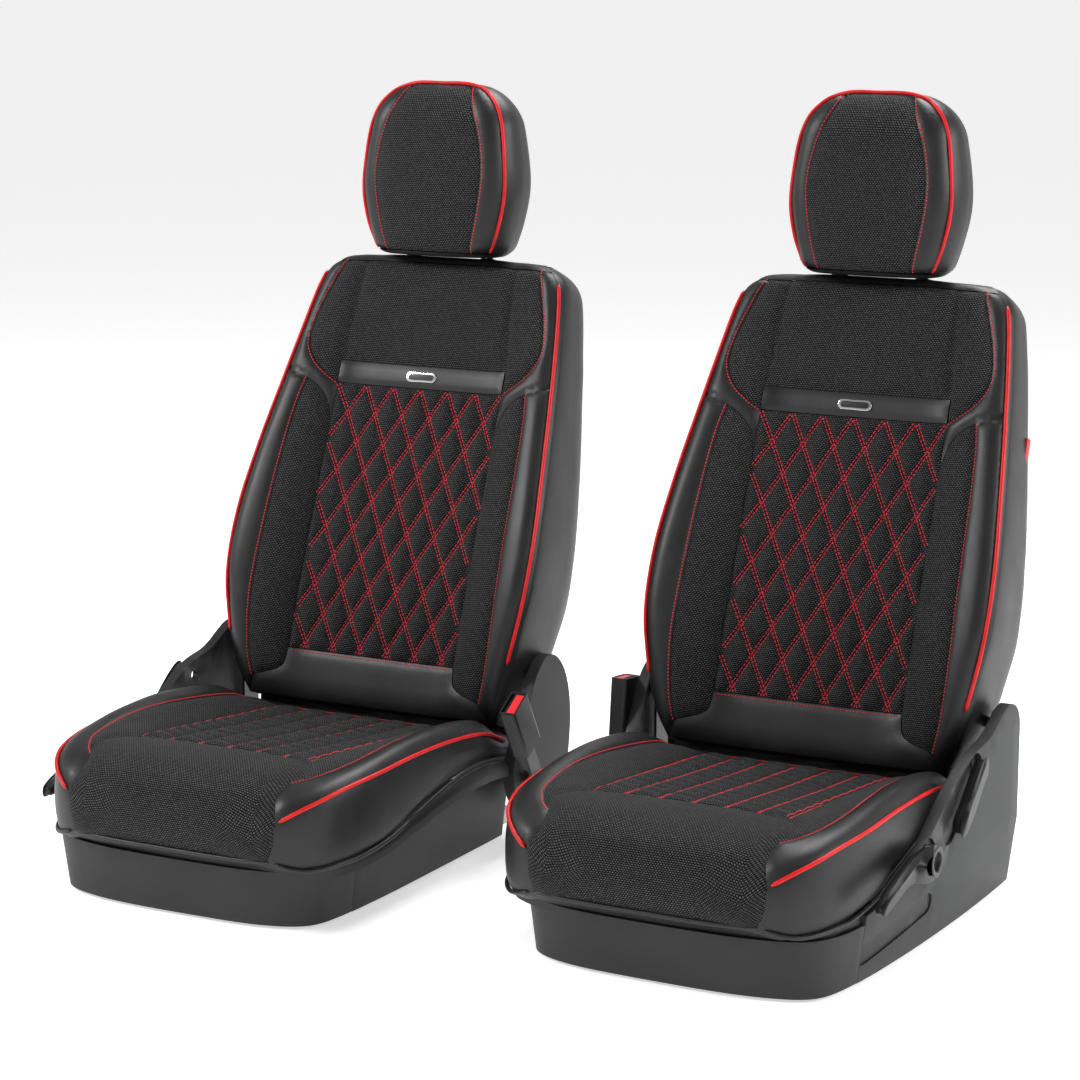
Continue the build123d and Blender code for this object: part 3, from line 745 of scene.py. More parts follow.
def back_panels(lines):
    """Outlines of the right-hand panels as (kind, outline), turning anticlockwise."""
    branch_v = lines["branch_v"]
    bolster_start = lines["bolster"][0]
    k = min(range(len(lines["branch"])), key=lambda i: abs(lines["branch"][i][0] - bolster_start[0]))
    inner_branch, outer_branch = lines["branch"][:k + 1], lines["branch"][k:]
    bolster = [inner_branch[-1]] + lines["bolster"][1:]
    low_edge = edge_seam(back_edge, BACK_BOTTOM, branch_v)
    high_edge = edge_seam(back_edge, branch_v, MESH_TOP)
    bottom = bolster[-1]
    bottom_inner = seam([(143, QUILT_LOW), (150, -40), bottom], curved=True)
    return [
        ("mesh", joined(lines["band_side"], lines["centre_top"], lines["mesh_top"],
                        list(reversed(lines["shoulder"])))),
        ("leather", joined(lines["shoulder"], lines["strip_top"], list(reversed(high_edge)),
                           list(reversed(lines["branch"])), lines["quilt_side_high"])),
        ("mesh", joined(list(reversed(bolster)), list(reversed(inner_branch)),
                        list(reversed(lines["quilt_side_low"])), bottom_inner)),
        ("leather", joined(bolster, seam([bottom, (back_edge(BACK_BOTTOM), BACK_BOTTOM)], curved=False),
                           low_edge, list(reversed(outer_branch)))),
    ]


def anticlockwise(outline):
    """The outline, turned round if it runs clockwise."""
    area = 0.0
    for (x0, y0), (x1, y1) in zip(outline, outline[1:] + outline[:1]):
        area += x0 * y1 - x1 * y0
    return outline if area > 0 else list(reversed(outline))


def back_skins(lines):
    """The backrest's air mesh, leather and quilted skins."""
    skins = {"mesh": Skin(), "leather": Skin(), "quilt": Skin()}
    profiles = {
        "mesh": padded_profile(4.4, 3.0, 8.0, pucker=0.8, seed=3.0),
        "leather": padded_profile(3.6, 1.4, 5.0, pucker=0.4, unevenness=0.6, seed=5.0),
    }
    for kind, outline in back_panels(lines):
        for shape in (outline, flipped(outline)):
            panel(skins[kind], anticlockwise(shape), back_front, profiles[kind])
    left = flipped
    centre = joined(
        seam([(-143, BAND_HIGH), (143, BAND_HIGH)], curved=False), lines["centre_top"],
        seam([(129, MESH_TOP), (-129, MESH_TOP)], curved=False), list(reversed(left(lines["centre_top"]))),
    )
    panel(skins["mesh"], centre, back_front, profiles["mesh"])
    band = joined(
        seam([(-143, QUILT_HIGH), (143, QUILT_HIGH)], curved=False), lines["band_side"],
        seam([(143, BAND_HIGH), (-143, BAND_HIGH)], curved=False), list(reversed(left(lines["band_side"]))),
    )
    panel(skins["leather"], band, back_front, padded_profile(2.2, 0.6, 4.0, 0.2, 0.2))
    quilt = joined(
        seam([(-143, QUILT_LOW), (143, QUILT_LOW)], curved=False), lines["quilt_side_low"],
        lines["quilt_side_high"], seam([(143, QUILT_HIGH), (-143, QUILT_HIGH)], curved=False),
        left(list(reversed(lines["quilt_side_high"]))), left(list(reversed(lines["quilt_side_low"]))),
    )
    panel(skins["quilt"], quilt, back_front, back_quilt_profile, spacing=3.4)
    back_low_and_top(skins["leather"], lines)
    back_sides(skins["leather"])
    return skins


def back_low_and_top(skin, lines):
    """The plain strips under the insert and over the air mesh."""
    bottom = lines["bolster"][-1]
    inner = seam([(143, QUILT_LOW), (150, -40), bottom], curved=True)
    base = seam([bottom, (back_edge(BACK_BOTTOM), BACK_BOTTOM)], curved=False)
    low = joined(
        flipped(list(reversed(base))) + list(reversed(flipped(inner)))[1:],
        seam([(-143, QUILT_LOW), (143, QUILT_LOW)], curved=False), inner, base,
        seam([base[-1], (-base[-1][0], BACK_BOTTOM)], curved=False),
    )
    panel(skin, anticlockwise(low), back_front, padded_profile(2.6, 1.0, 6.0, 0.4))
    half = lines["mesh_top"] + lines["strip_top"][1:]
    edge = edge_seam(back_edge, MESH_TOP, ROLL_END, step=2.5)
    top = joined(
        seam([(-129, MESH_TOP), (129, MESH_TOP)], curved=False), half, edge,
        seam([edge[-1], (-edge[-1][0], ROLL_END)], curved=False),
        flipped(list(reversed(edge))), flipped(list(reversed(half))),
    )
    panel(skin, top, back_front, top_profile, spacing=5.0)


def top_profile(flat, gap, along):
    """The top strip is drawn in only at its seam with the air mesh."""
    return -2.6 * np.exp(-(flat[:, 1] - MESH_TOP) / 5.0) + 0.2


def back_levels():
    """Heights of the rows of the backrest's sides and rear."""
    plain = [BACK_BOTTOM + k * (ROLL_START - BACK_BOTTOM) / 86 for k in range(87)]
    rolled = [back_height(ROLL_START + k * (ROLL_END - ROLL_START) / 10) for k in range(1, 11)]
    return plain + rolled


def back_sides(skin):
    """Side gussets, rear and both end caps in one run of leather round the back."""
    rows = []
    for s in back_levels():
        half = backrest_section(s)[5:]
        rows.append(smooth_run(half + mirrored(half)[1:], 7))
    wide = len(rows[0])
    seams = (0, 4 * 7, wide - 1 - 4 * 7, wide - 1)
    grid_sheet(skin, rows, seam_columns=seams, seam_sink=2.6, reach=6.0)
    for s, turn in ((BACK_TOP, 1), (BACK_BOTTOM, -1)):
        half = backrest_section(s - 0.001 if turn > 0 else s)
        ring = smooth_run(half + mirrored(half)[1:], 5)[:-1]
        crown = 3.0 * turn
        cap_sheet(skin, ring, s, crown)


def cap_sheet(skin, ring, s, crown):
    """A slightly crowned lid over a ring of points at one height."""
    centre = np.mean(np.array(ring), axis=0)
    rows = []
    for share in (1.0, 0.86, 0.6, 0.3, 0.02):
        row = []
        for p in ring + [ring[0]]:
            q = centre + (np.array(p) - centre) * share
            q[2] = s + crown * (1 - share**2)
            row.append(q)
        rows.append(row if crown > 0 else list(reversed(row)))
    points = np.array(rows)
    high, wide, _ = points.shape
    faces = []
    for j in range(high - 1):
        for i in range(wide - 1):
            a = j * wide + i
            faces.append((a, a + 1, a + wide + 1, a + wide))
    flat = points.reshape(-1, 3)
    skin.add(flat, faces, [(p[0], p[1]) for p in flat])


def line_rows(x_of, low, high):
    """A straight quilting line sampled between two heights."""
    count = 40
    heights = [low + (high - low) * k / count for k in range(count + 1)]
    return [(x_of(v), v) for v in heights]


def diamond_threads(thread, tree):
    """Double rows of red stitches along the backrest insert's slanted lines."""
    inset = 2.0
    low, high = QUILT_LOW + inset, QUILT_HIGH - inset
    slope = DIAMOND_WIDTH / DIAMOND_HEIGHT
    for turn in (1, -1):
        for k in range(-5, 12):
            foot = -INSERT_HALF + k * DIAMOND_WIDTH

            def x_of(v, foot=foot, turn=turn):
                return foot + turn * slope * (QUILT_HIGH - v)

            run = [p for p in line_rows(x_of, low, high) if abs(p[0]) < INSERT_HALF - 1]
            if len(run) > 2:
                for shift in (-ROW_GAP, ROW_GAP):
                    sew(thread, tree, back_front, [run[0], run[-1]], shift)


def make_backrest(matrix, finish):
    """Every piece of the backrest's cover."""
    lines = back_seams()
    skins = back_skins(lines)
    tree = cloth_surface(skins.values())
    quilt = skin_object("driver_back_insert", skins["quilt"], matrix)
    both_seats(quilt, "back", finish["mesh"], ["backrest_quilt"])
    mesh = skin_object("driver_back_air_mesh", skins["mesh"], matrix)
    both_seats(mesh, "back", finish["mesh"], ())
    leather = skin_object("driver_back_leather", skins["leather"], matrix)
    both_seats(leather, "back", finish["leather"], ["backrest_cover"])
    thread = Skin()
    diamond_threads(thread, tree)
    for line, shift in ((lines["shoulder"], -3.0), (lines["bolster"], 3.0)):
        for side in (1, -1):
            run = line if side > 0 else flipped(line)
            sew(thread, tree, back_front, run, side * shift, pitch=5.0, length=3.6)
    low = [(-INSERT_HALF + 4, QUILT_LOW), (INSERT_HALF - 4, QUILT_LOW)]
    sew(thread, tree, back_front, low, -3.0, pitch=5.0, length=3.6)
    both_seats(thread_object("driver_back_stitching", thread, matrix), "back", finish["thread"])
    runs = []
    for side in (1, -1):
        run = []
        for s in (4, 90, 190, 300, 410, 500, 560, 590):
            x, y, _ = backrest_section(s)[5]
            run.append((side * (x - 0.9), y + 0.6, s))
        runs.append(run)
    piping = cord_object("driver_back_piping", runs, matrix, PIPING_RADIUS)
    both_seats(piping, "back", finish["piping"], ["backrest_piping"])


# ---- cushion ----
def seat_seams():
    """The cushion's seam lines on the right."""
    return {
        "quilt_front": seam([(0, -462), (70, -464), (143, -478)]),
        "quilt_side": seam([(143, -478), (143, SEAT_QUILT_BACK)], curved=False),
        "nose_corner": seam([(143, -478), (166, -505), (172, -530), (163, -556)]),
        "strip": seam([(163, -556), (180, -535), (196, -500), (205, -430), (204, -350), (197, -260),
                       (192, -180), (188, SEAT_QUILT_BACK)]),
        "rear": seam([(143, SEAT_QUILT_BACK), (188, SEAT_QUILT_BACK)], curved=False),
    }


def top_edge_seam(front, rear, step=5.0):
    """The cushion's piping seam on the right, from front to rear."""
    count = round((rear - front) / step)
    line = []
    for k in range(count + 1):
        y = front + (rear - front) * k / count
        line.append((cushion_section(y)[5][0], y))
    return line


def nose_outline(lines):
    """The nose panel's outline in its own layout, where v is 0 along the front edge."""
    top_right = [(x, nose_layout(x, y)) for x, y in lines["quilt_front"] + lines["nose_corner"][1:]]
    side = seam([top_right[-1], (160, 34), (165, 12), (170, 0)])
    drop = seam([(170, 0), (168, -NOSE_DROP * 0.5), (160, -NOSE_DROP)])
    right = list(reversed(top_right + side[1:] + drop[1:]))
    left = list(reversed(flipped(right)))
    floor = seam([(-160, -NOSE_DROP), (160, -NOSE_DROP)], curved=False)
    return floor[:-1] + right[:-1] + left[:-1]


def seat_skins(lines):
    """The cushion's air mesh, leather and quilted skins."""
    skins = {"mesh": Skin(), "leather": Skin(), "quilt": Skin()}
    mesh = padded_profile(2.6, 2.6, 9.0, pucker=0.6, seed=11.0)
    leather = padded_profile(2.8, 1.0, 5.0, pucker=0.4, unevenness=0.6, seed=13.0)
    quilt = joined(
        flipped(list(reversed(lines["quilt_front"]))), lines["quilt_front"], lines["quilt_side"],
        seam([(143, SEAT_QUILT_BACK), (-143, SEAT_QUILT_BACK)], curved=False),
        flipped(list(reversed(lines["quilt_side"]))),
    )
    panel(skins["quilt"], anticlockwise(quilt), seat_top, seat_quilt_profile, spacing=3.4)
    panel(skins["mesh"], anticlockwise(nose_outline(lines)), seat_nose, mesh)
    side = joined(lines["quilt_side"], lines["rear"], list(reversed(lines["strip"])),
                  list(reversed(lines["nose_corner"])))
    edge = top_edge_seam(-606, SEAT_QUILT_BACK)
    front = [(163, -556)]
    for x, v in ((160, 34), (165, 12)):
        front.append((x, crown_depth(crown_length(nose_line(x)) + v)))
    front = seam(front + [edge[0]])
    strip = joined(list(reversed(lines["strip"])), front, edge,
                   seam([edge[-1], (188, SEAT_QUILT_BACK)], curved=False))
    for kind, shape, profile in (("mesh", side, mesh), ("leather", strip, leather)):
        for outline in (shape, flipped(shape)):
            panel(skins[kind], anticlockwise(outline), seat_top, profile)
    rear_edge = top_edge_seam(SEAT_QUILT_BACK, CUSHION_REAR_Y)
    half = lines["rear"] + seam([(188, SEAT_QUILT_BACK), edge[-1]], curved=False)[1:]
    rear = joined(
        seam([(-143, SEAT_QUILT_BACK), (143, SEAT_QUILT_BACK)], curved=False), half, rear_edge,
        seam([rear_edge[-1], (-rear_edge[-1][0], CUSHION_REAR_Y)], curved=False),
        flipped(list(reversed(rear_edge))), flipped(list(reversed(half))),
    )
    panel(skins["leather"], rear, seat_top, leather)
    seat_boxing(skins["leather"])
    return skins


def seat_boxing(skin):
    """The cushion's side walls, underside and rear end."""
    front = [NOSE_Y + d for d in (0, 1, 2.5, 4.5, 7, 10, 14, 19, 25, 32, 40, 50)]
    rest = [-562 + k * (CUSHION_REAR_Y + 562) / 90 for k in range(1, 91)]
    rows = []
    for y in front + rest:
        half = cushion_section(y)[5:]
        rows.append(smooth_run(half + mirrored(half)[1:], 6))
    wide = len(rows[0])
    grid_sheet(skin, rows, seam_columns=(0, wide - 1), seam_sink=2.4, reach=6.0, seed=8.0)
    half = cushion_section(CUSHION_REAR_Y)
    ring = smooth_run(half + mirrored(half)[1:], 4)
    centre = np.mean(np.array(ring), axis=0)
    lid = []
    for share in (1.0, 0.5, 0.03):
        lid.append([centre + (np.array(p) - centre) * share for p in ring])
    points = np.array(lid)
    high, wide, _ = points.shape
    faces = []
    for j in range(high - 1):
        for i in range(wide - 1):
            a = j * wide + i
            faces.append((a, a + wide, a + wide + 1, a + 1))
    flat = points.reshape(-1, 3)
    skin.add(flat, faces, [(p[0], p[2]) for p in flat])


def seat_threads(thread, tree, lines):
    """Stitches along the cushion insert's long lines and beside its curved seams."""
    for k in range(7):
        x = -INSERT_HALF + k * DIAMOND_WIDTH
        inset = 4.0 if k in (0, 6) else 0.0
        x -= math.copysign(inset, x)
        front = -462 if abs(x) < 75 else -470
        for shift in (-ROW_GAP, ROW_GAP):
            sew(thread, tree, seat_top, [(x, front + 4), (x, SEAT_QUILT_BACK - 4)], shift)
    for side in (1, -1):
        run = lines["strip"] if side > 0 else flipped(lines["strip"])
        sew(thread, tree, seat_top, run, -side * 3.0, pitch=5.0, length=3.6)
    low = [(-INSERT_HALF + 4, SEAT_QUILT_BACK), (INSERT_HALF - 4, SEAT_QUILT_BACK)]
    sew(thread, tree, seat_top, low, 3.0, pitch=5.0, length=3.6)


def make_cushion(matrix, finish):
    """Every piece of the cushion's cover."""
    lines = seat_seams()
    skins = seat_skins(lines)
    tree = cloth_surface(skins.values())
    quilt = skin_object("driver_seat_insert", skins["quilt"], matrix)
    both_seats(quilt, "seat", finish["mesh"], ["cushion_quilt"])
    mesh = skin_object("driver_seat_air_mesh", skins["mesh"], matrix)
    both_seats(mesh, "seat", finish["mesh"], ())
    leather = skin_object("driver_seat_leather", skins["leather"], matrix)
    both_seats(leather, "seat", finish["leather"], ["cushion_cover"])
    thread = Skin()
    seat_threads(thread, tree, lines)
    both_seats(thread_object("driver_seat_stitching", thread, matrix), "seat", finish["thread"])
    cords, hems = [], []
    for side in (1, -1):
        cord = []
        for y in (-603, -590, -565, -530, -460, -360, -250, -150, -80):
            x, _, z = cushion_section(y)[5]
            cord.append((side * (x - 0.6), y, z + 0.4))
        cords.append(cord)
        hem = []
        for y in (-606, -596, -580, -550, -500, -430, -360, -290, -220, -150, -80):
            x, _, z = cushion_section(y)[7]
            hem.append((side * (x + 1.5), y, z - 6))
        hems.append(hem)
    piping = cord_object("driver_seat_piping", cords, matrix, PIPING_RADIUS)
    both_seats(piping, "seat", finish["piping"], ["cushion_piping"])
    front = [(-158, nose_line(158) - 0.5, 108), (-100, NOSE_Y - 0.5, 106), (0, NOSE_Y - 0.5, 105.5),
             (100, NOSE_Y - 0.5, 106), (158, nose_line(158) - 0.5, 108)]
    hem_roll = cord_object("driver_seat_hem", hems + [front], matrix, 3.2)
    both_seats(hem_roll, "seat", finish["leather"])


# ---- headrest ----
def make_headrest(matrix, finish):
    """Every piece of the headrest's cover."""
    skins = {"mesh": Skin(), "leather": Skin()}
    side = seam([(70, 6), (84, 70), (90, 130), (80, 190), (60, 236), (48, HEAD_TOP)])
    edge = edge_seam(head_edge, 6, HEAD_TOP)
    centre = joined(
        seam([(-70, 6), (70, 6)], curved=False), side,
        seam([(48, HEAD_TOP), (-48, HEAD_TOP)], curved=False), list(reversed(flipped(side))),
    )
    padding = padded_profile(2.6, 3.0, 10.0, pucker=0.6, seed=17.0)
    panel(skins["mesh"], centre, head_front, padding, spacing=5.0)
    strip = joined(
        seam([(70, 6), edge[0]], curved=False), edge,
        seam([edge[-1], (48, HEAD_TOP)], curved=False), list(reversed(side)),
    )
    leather = padded_profile(2.6, 1.0, 5.0, pucker=0.4, unevenness=0.6, seed=19.0)
    for outline in (strip, flipped(strip)):
        panel(skins["leather"], anticlockwise(outline), head_front, leather, spacing=5.0)
    low = [6 * k / 5 for k in range(6)]
    top = head_height(HEAD_TOP)
    middle = [6 + (200 - 6) * k / 34 for k in range(1, 35)]
    rolled = [head_height(200 + (HEAD_TOP - 200) * k / 14) for k in range(1, 15)]
    rows = []
    for z in low[-1:] + middle + rolled:
        half = headrest_section(z)[3:]
        rows.append(smooth_run(half + mirrored(half)[1:], 8))
    wide = len(rows[0])
    grid_sheet(skins["leather"], rows, seam_columns=(0, wide - 1), seam_sink=2.4, reach=6.0, seed=23.0)
    foot = []
    for z in reversed(low):
        half = headrest_section(z)
        foot.append(list(reversed(smooth_run(half + mirrored(half)[1:], 6))))
    grid_sheet(skins["leather"], foot, unevenness=0.2)
    for z, crown in ((top, 2.0), (0.0, -2.0)):
        half = headrest_section(z)
        cap_sheet(skins["leather"], smooth_run(half + mirrored(half)[1:], 6)[:-1], z, crown)
    tree = cloth_surface(skins.values())
    mesh = skin_object("driver_head_air_mesh", skins["mesh"], matrix)
    both_seats(mesh, "head", finish["mesh"], ())
    cover = skin_object("driver_head_leather", skins["leather"], matrix)
    both_seats(cover, "head", finish["leather"], ["headrest_cover"])
    thread = Skin()
    for turn in (1, -1):
        run = side if turn > 0 else flipped(side)
        sew(thread, tree, head_front, run, -turn * 3.0, pitch=5.0, length=3.6)
    both_seats(thread_object("driver_head_stitching", thread, matrix), "head", finish["thread"])
    right = []
    for z in (8, 50, 100, 160, 200, 228, 246, 255):
        x, y, _ = headrest_section(z)[3]
        right.append((x - 0.9, y + 0.7, z))
    x, y, z = right[-1]
    across = [(0.6 * x, y - 0.5, top + 0.9), (0, y - 1.0, top + 1.2), (-0.6 * x, y - 0.5, top + 0.9)]
    piping = cord_object("driver_head_piping", [right + across + mirrored(right)], matrix, PIPING_RADIUS)
    both_seats(piping, "head", finish["piping"], ["headrest_piping"])


# ---- flap, controls and badge ----
def make_flaps(matrix, finish):
    """The leather flap that is sewn under each backrest and tucked in behind the cushion."""
    rows = []
    for k in range(9):
        share = k / 8
        row = []
        for x in range(-228, 229, 12):
            sag = 2.5 * noise.noise(Vector((x / 40, share * 2, 31.0)))
            low = through(CUSHION_CENTRE, -22) - 4
            row.append((x, -24 + 9 * share + sag * math.sin(math.pi * share), low + (164 - low) * share))
        rows.append(row)
    skin = Skin()
    grid_sheet(skin, rows, unevenness=0.4)
    flap = skin_object("driver_tuck_flap", skin, matrix)
    twin = passenger_twin(flap)
    flaps = (("driver", flap, DRIVER_X, DRIVER_Y), ("passenger", twin, PASSENGER_X, PASSENGER_Y))
    for who, piece, x, y in flaps:
        piece.data.materials.append(finish["leather"])
        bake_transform(piece)


def make_skirts(matrix, finish):
    """The dark edge of the cover that is tucked in behind the base trims, seen in the gap above them."""
    half = [(271, -130), (269, -250), (256, -390), (239, -494), (216, -548), (166, -574), (90, -583),
            (0, -586)]
    plan = smooth_run(half + [(-x, y) for x, y in reversed(half[:-1])], 8)
    plan = [p for p in plan if p[0] < 0 or p[1] < -440]
    rows = []
    for drop in (16, 8, 0, -8):
        row = []
        for x, y in plan:
            hem = through(HEM_HEIGHT, max(y, -600))
            row.append((x * (0.985 if drop < 0 else 1.0), y, hem - drop))
        rows.append(row)
    skin = Skin()
    grid_sheet(skin, rows, unevenness=0.3)
    skirt = skin_object("driver_seat_tuck", skin, matrix)
    both_seats(skirt, "seat", finish["leather"])


def crowned_plate(outline, low, high, soft, place):
    """Points and faces of a plate with rounded edges: outline (u, v) points, from height low to high."""
    ring = [np.array(p) for p in evenly(smooth_run(list(outline) + [outline[0]], 10), 2.5)][:-1]
    count = len(ring)
    inward = []
    for i in range(count):
        run = ring[(i + 1) % count] - ring[i - 1]
        run = run / max(np.linalg.norm(run), 1e-9)
        inward.append(np.array((-run[1], run[0])))
    points, faces = [], []
    levels = [(0.0, low)]
    for k in range(6):
        turn = k / 5 * math.pi / 2
        levels.append((soft * (1 - math.cos(turn)), high - soft + soft * math.sin(turn)))
    for inset, height in levels:
        for p, n in zip(ring, inward):
            q = p + n * inset
            points.append(place(q[0], q[1], height))
    for level in range(len(levels) - 1):
        for i in range(count):
            a, b = level * count + i, level * count + (i + 1) % count
            faces.append((a, b, b + count, a + count))
    top = (len(levels) - 1) * count
    faces.append(tuple(range(top, top + count)))
    faces.append(tuple(reversed(range(count))))
    return points, faces


def hub_dish(y, z, outer, inner, low, high, deep, sides=48):
    """Points and faces of a ring-shaped hub round an axis across the seat, open in the middle."""
    soft = 2.5
    profile = [(outer, low), (outer, high - soft), (outer - 0.3 * soft, high - 0.3 * soft),
               (outer - soft, high),
               (inner + soft, high), (inner + 0.3 * soft, high - 0.3 * soft), (inner, high - soft),
               (inner, high - deep), (0.02, high - deep)]
    points, faces = [], []
    for radius, x in profile:
        for k in range(sides):
            turn = 2 * math.pi * k / sides
            points.append((x, y + radius * math.cos(turn), z + radius * math.sin(turn)))
    for ring in range(len(profile) - 1):
        for k in range(sides):
            a, b = ring * sides + k, ring * sides + (k + 1) % sides
            faces.append((a, b, b + sides, a + sides))
    return points, faces


def across(u, v, height):
    """Place of a plate point whose outline is seen from the side of the seat."""
    return (height, u, v)


def make_controls(matrix, finish):
    """The height lever and the recline grip, with softened edges."""
    y, z = LEVER_HUB
    length = LEVER_LENGTH
    arm = [(y - 16, z + 2), (y - 10, z - 17), (y - 0.24 * length, z - 13), (y - 0.5 * length, z + 1),
           (y - 0.8 * length, z - 8), (y - length - 1, z - 13), (y - length, z - 2),
           (y - 0.75 * length, z + 15),
           (y - 0.36 * length, z + 27), (y - 4, z + 20)]
    lever = Skin()
    points, faces = crowned_plate(arm, LEVER_X[0] + 5, LEVER_X[1], 4.0, across)
    lever.add(points, faces, [(0, 0)] * len(points))
    points, faces = hub_dish(y, z, 22.0, 13.0, LEVER_X[0], LEVER_X[1] + 1.0, 10.0)
    lever.add(points, faces, [(0, 0)] * len(points))
    piece = new_object("driver_height_handle_grip", placed(matrix, lever.points), lever.faces)
    both_seats(piece, "height_handle", finish["lever"], ["height_lever"])
    y, z = RECLINE_HUB
    grip = [(y + 9, z + 6), (y + 2, z + 14), (y - 22, z + 2), (y - 60, z - 28), (y - 90, z - 50),
            (y - 88, z - 66),
            (y - 72, z - 66), (y - 42, z - 48), (y - 8, z - 18), (y + 8, z - 7)]
    plate = Skin()
    points, faces = crowned_plate(list(reversed(grip)), RECLINE_X[0], RECLINE_X[1], 5.0, across)
    plate.add(points, faces, [(0, 0)] * len(points))
    piece = new_object("driver_recline_handle_grip", placed(matrix, plate.points), plate.faces)
    both_seats(piece, "recline_handle", finish["lever"], ["recline_lever"])


def make_badge(matrix, finish):
    """A plain bright plate with a raised rim and a satin field."""
    middle = (QUILT_HIGH + BAND_HIGH) / 2
    face = -through(BACK_CENTRE, middle)
    plates = (("rim", 52.0, 15.0, 2.6, "chrome"), ("field", 44.0, 9.0, 3.3, "lever"))
    for name, width, height, lift, chosen in plates:
        a, b, c = width / 2, height / 2, 0.32 * height
        outline = [(-a + c, -b), (0, -b), (a - c, -b), (a, -b + c), (a, b - c), (a - c, b), (0, b),
                   (-a + c, b),
                   (-a, b - c), (-a, -b + c)]
        points, faces = crowned_plate(outline, 0.0, lift, 0.9,
                                      lambda u, v, w: (u, face - w, middle + v))
        piece = new_object(f"driver_badge_{name}", placed(matrix, points), faces)
        hidden = ["backrest_badge"] if name == "rim" else []
        both_seats(piece, "back", finish[chosen], hidden)


# ---- finishes ----
def material(name, colour, roughness, metallic=0.0):
    """A new material, its node tree and its shader."""
    made = bpy.data.materials.new(name)
    made.use_nodes = True
    shader = made.node_tree.nodes["Principled BSDF"]
    shader.inputs["Base Color"].default_value = (*colour, 1)
    shader.inputs["Roughness"].default_value = roughness
    shader.inputs["Metallic"].default_value = metallic
    return made, made.node_tree, shader


def coordinates(tree, kind, scale):
    """A mapped coordinate of the given kind."""
    source = tree.nodes.new("ShaderNodeTexCoord")
    mapping = tree.nodes.new("ShaderNodeMapping")
    mapping.inputs["Scale"].default_value = (scale, scale, scale)
    tree.links.new(source.outputs[kind], mapping.inputs["Vector"])
    return mapping.outputs["Vector"]


def noise_node(tree, vector, scale, detail=4.0, roughness=0.55):
    """A noise texture's value."""
    node = tree.nodes.new("ShaderNodeTexNoise")
    node.inputs["Scale"].default_value = scale
    node.inputs["Detail"].default_value = detail
    node.inputs["Roughness"].default_value = roughness
    tree.links.new(vector, node.inputs["Vector"])
    return node.outputs["Fac"]


def ramp(tree, value, low, high, stops=(0.3, 0.7)):
    """A value turned into a colour between low and high."""
    node = tree.nodes.new("ShaderNodeValToRGB")
    node.color_ramp.elements[0].position = stops[0]
    node.color_ramp.elements[1].position = stops[1]
    node.color_ramp.elements[0].color = (*low, 1)
    node.color_ramp.elements[1].color = (*high, 1)
    tree.links.new(value, node.inputs["Fac"])
    return node.outputs["Color"]


def spread(tree, value, low, high):
    """A value moved from 0..1 to low..high."""
    node = tree.nodes.new("ShaderNodeMapRange")
    node.inputs["To Min"].default_value = low
    node.inputs["To Max"].default_value = high
    tree.links.new(value, node.inputs["Value"])
    return node.outputs["Result"]


def bump(tree, shader, heights):
    """Bumps from (height, strength, distance) layers, one over another."""
    normal = None
    for value, strength, distance in heights:
        node = tree.nodes.new("ShaderNodeBump")
        node.inputs["Strength"].default_value = strength
        node.inputs["Distance"].default_value = distance
        tree.links.new(value, node.inputs["Height"])
        if normal:
            tree.links.new(normal, node.inputs["Normal"])
        normal = node.outputs["Normal"]
    tree.links.new(normal, shader.inputs["Normal"])


def worn_edges(tree, colour, edge_colour, amount):
    """A colour that turns paler along convex edges."""
    shape = tree.nodes.new("ShaderNodeNewGeometry")
    mask = tree.nodes.new("ShaderNodeMapRange")
    mask.inputs["From Min"].default_value = 0.52
    mask.inputs["From Max"].default_value = 0.62
    mask.inputs["To Max"].default_value = amount
    tree.links.new(shape.outputs["Pointiness"], mask.inputs["Value"])
    mix = tree.nodes.new("ShaderNodeMixRGB")
    mix.inputs["Color2"].default_value = (*edge_colour, 1)
    tree.links.new(mask.outputs["Result"], mix.inputs["Fac"])
    tree.links.new(colour, mix.inputs["Color1"])
    return mix.outputs["Color"]


def air_mesh():
    """Black spacer fabric: staggered raised loops over dark holes, with the loops painted pale grey as
    glints of light on the black thread.
    """
    made, tree, shader = material("air_mesh", (0.02, 0.02, 0.021), 0.75)
    vector = coordinates(tree, "UV", 100.0)
    loops_with_painted_glints = tree.nodes.new("ShaderNodeTexBrick")
    loops_with_painted_glints.offset = 0.5
    # painted highlight: both loop colours are pale greys that stand for glints of light on the black thread,
    # not the fabric's own colour
    loops_with_painted_glints.inputs["Color1"].default_value = (0.105, 0.107, 0.110, 1)
    loops_with_painted_glints.inputs["Color2"].default_value = (0.060, 0.061, 0.063, 1)
    loops_with_painted_glints.inputs["Mortar"].default_value = (0.0012, 0.0012, 0.0013, 1)
    loops_with_painted_glints.inputs["Scale"].default_value = 1.0
    loops_with_painted_glints.inputs["Mortar Size"].default_value = 1.15
    loops_with_painted_glints.inputs["Mortar Smooth"].default_value = 0.7
    loops_with_painted_glints.inputs["Brick Width"].default_value = 4.0
    loops_with_painted_glints.inputs["Row Height"].default_value = 2.8
    tree.links.new(vector, loops_with_painted_glints.inputs["Vector"])
    tree.links.new(loops_with_painted_glints.outputs["Color"], shader.inputs["Base Color"])
    inverse = spread(tree, loops_with_painted_glints.outputs["Fac"], 1.0, 0.0)
    fibre = noise_node(tree, vector, 2.4, 3.0)
    bump(tree, shader, [(fibre, 0.2, 0.0004), (inverse, 0.9, 0.0009)])
    shader.inputs["Specular IOR Level"].default_value = 0.12
    shader.inputs["Sheen Weight"].default_value = 0.03
    tree.links.new(spread(tree, fibre, 0.6, 0.85), shader.inputs["Roughness"])
    return made


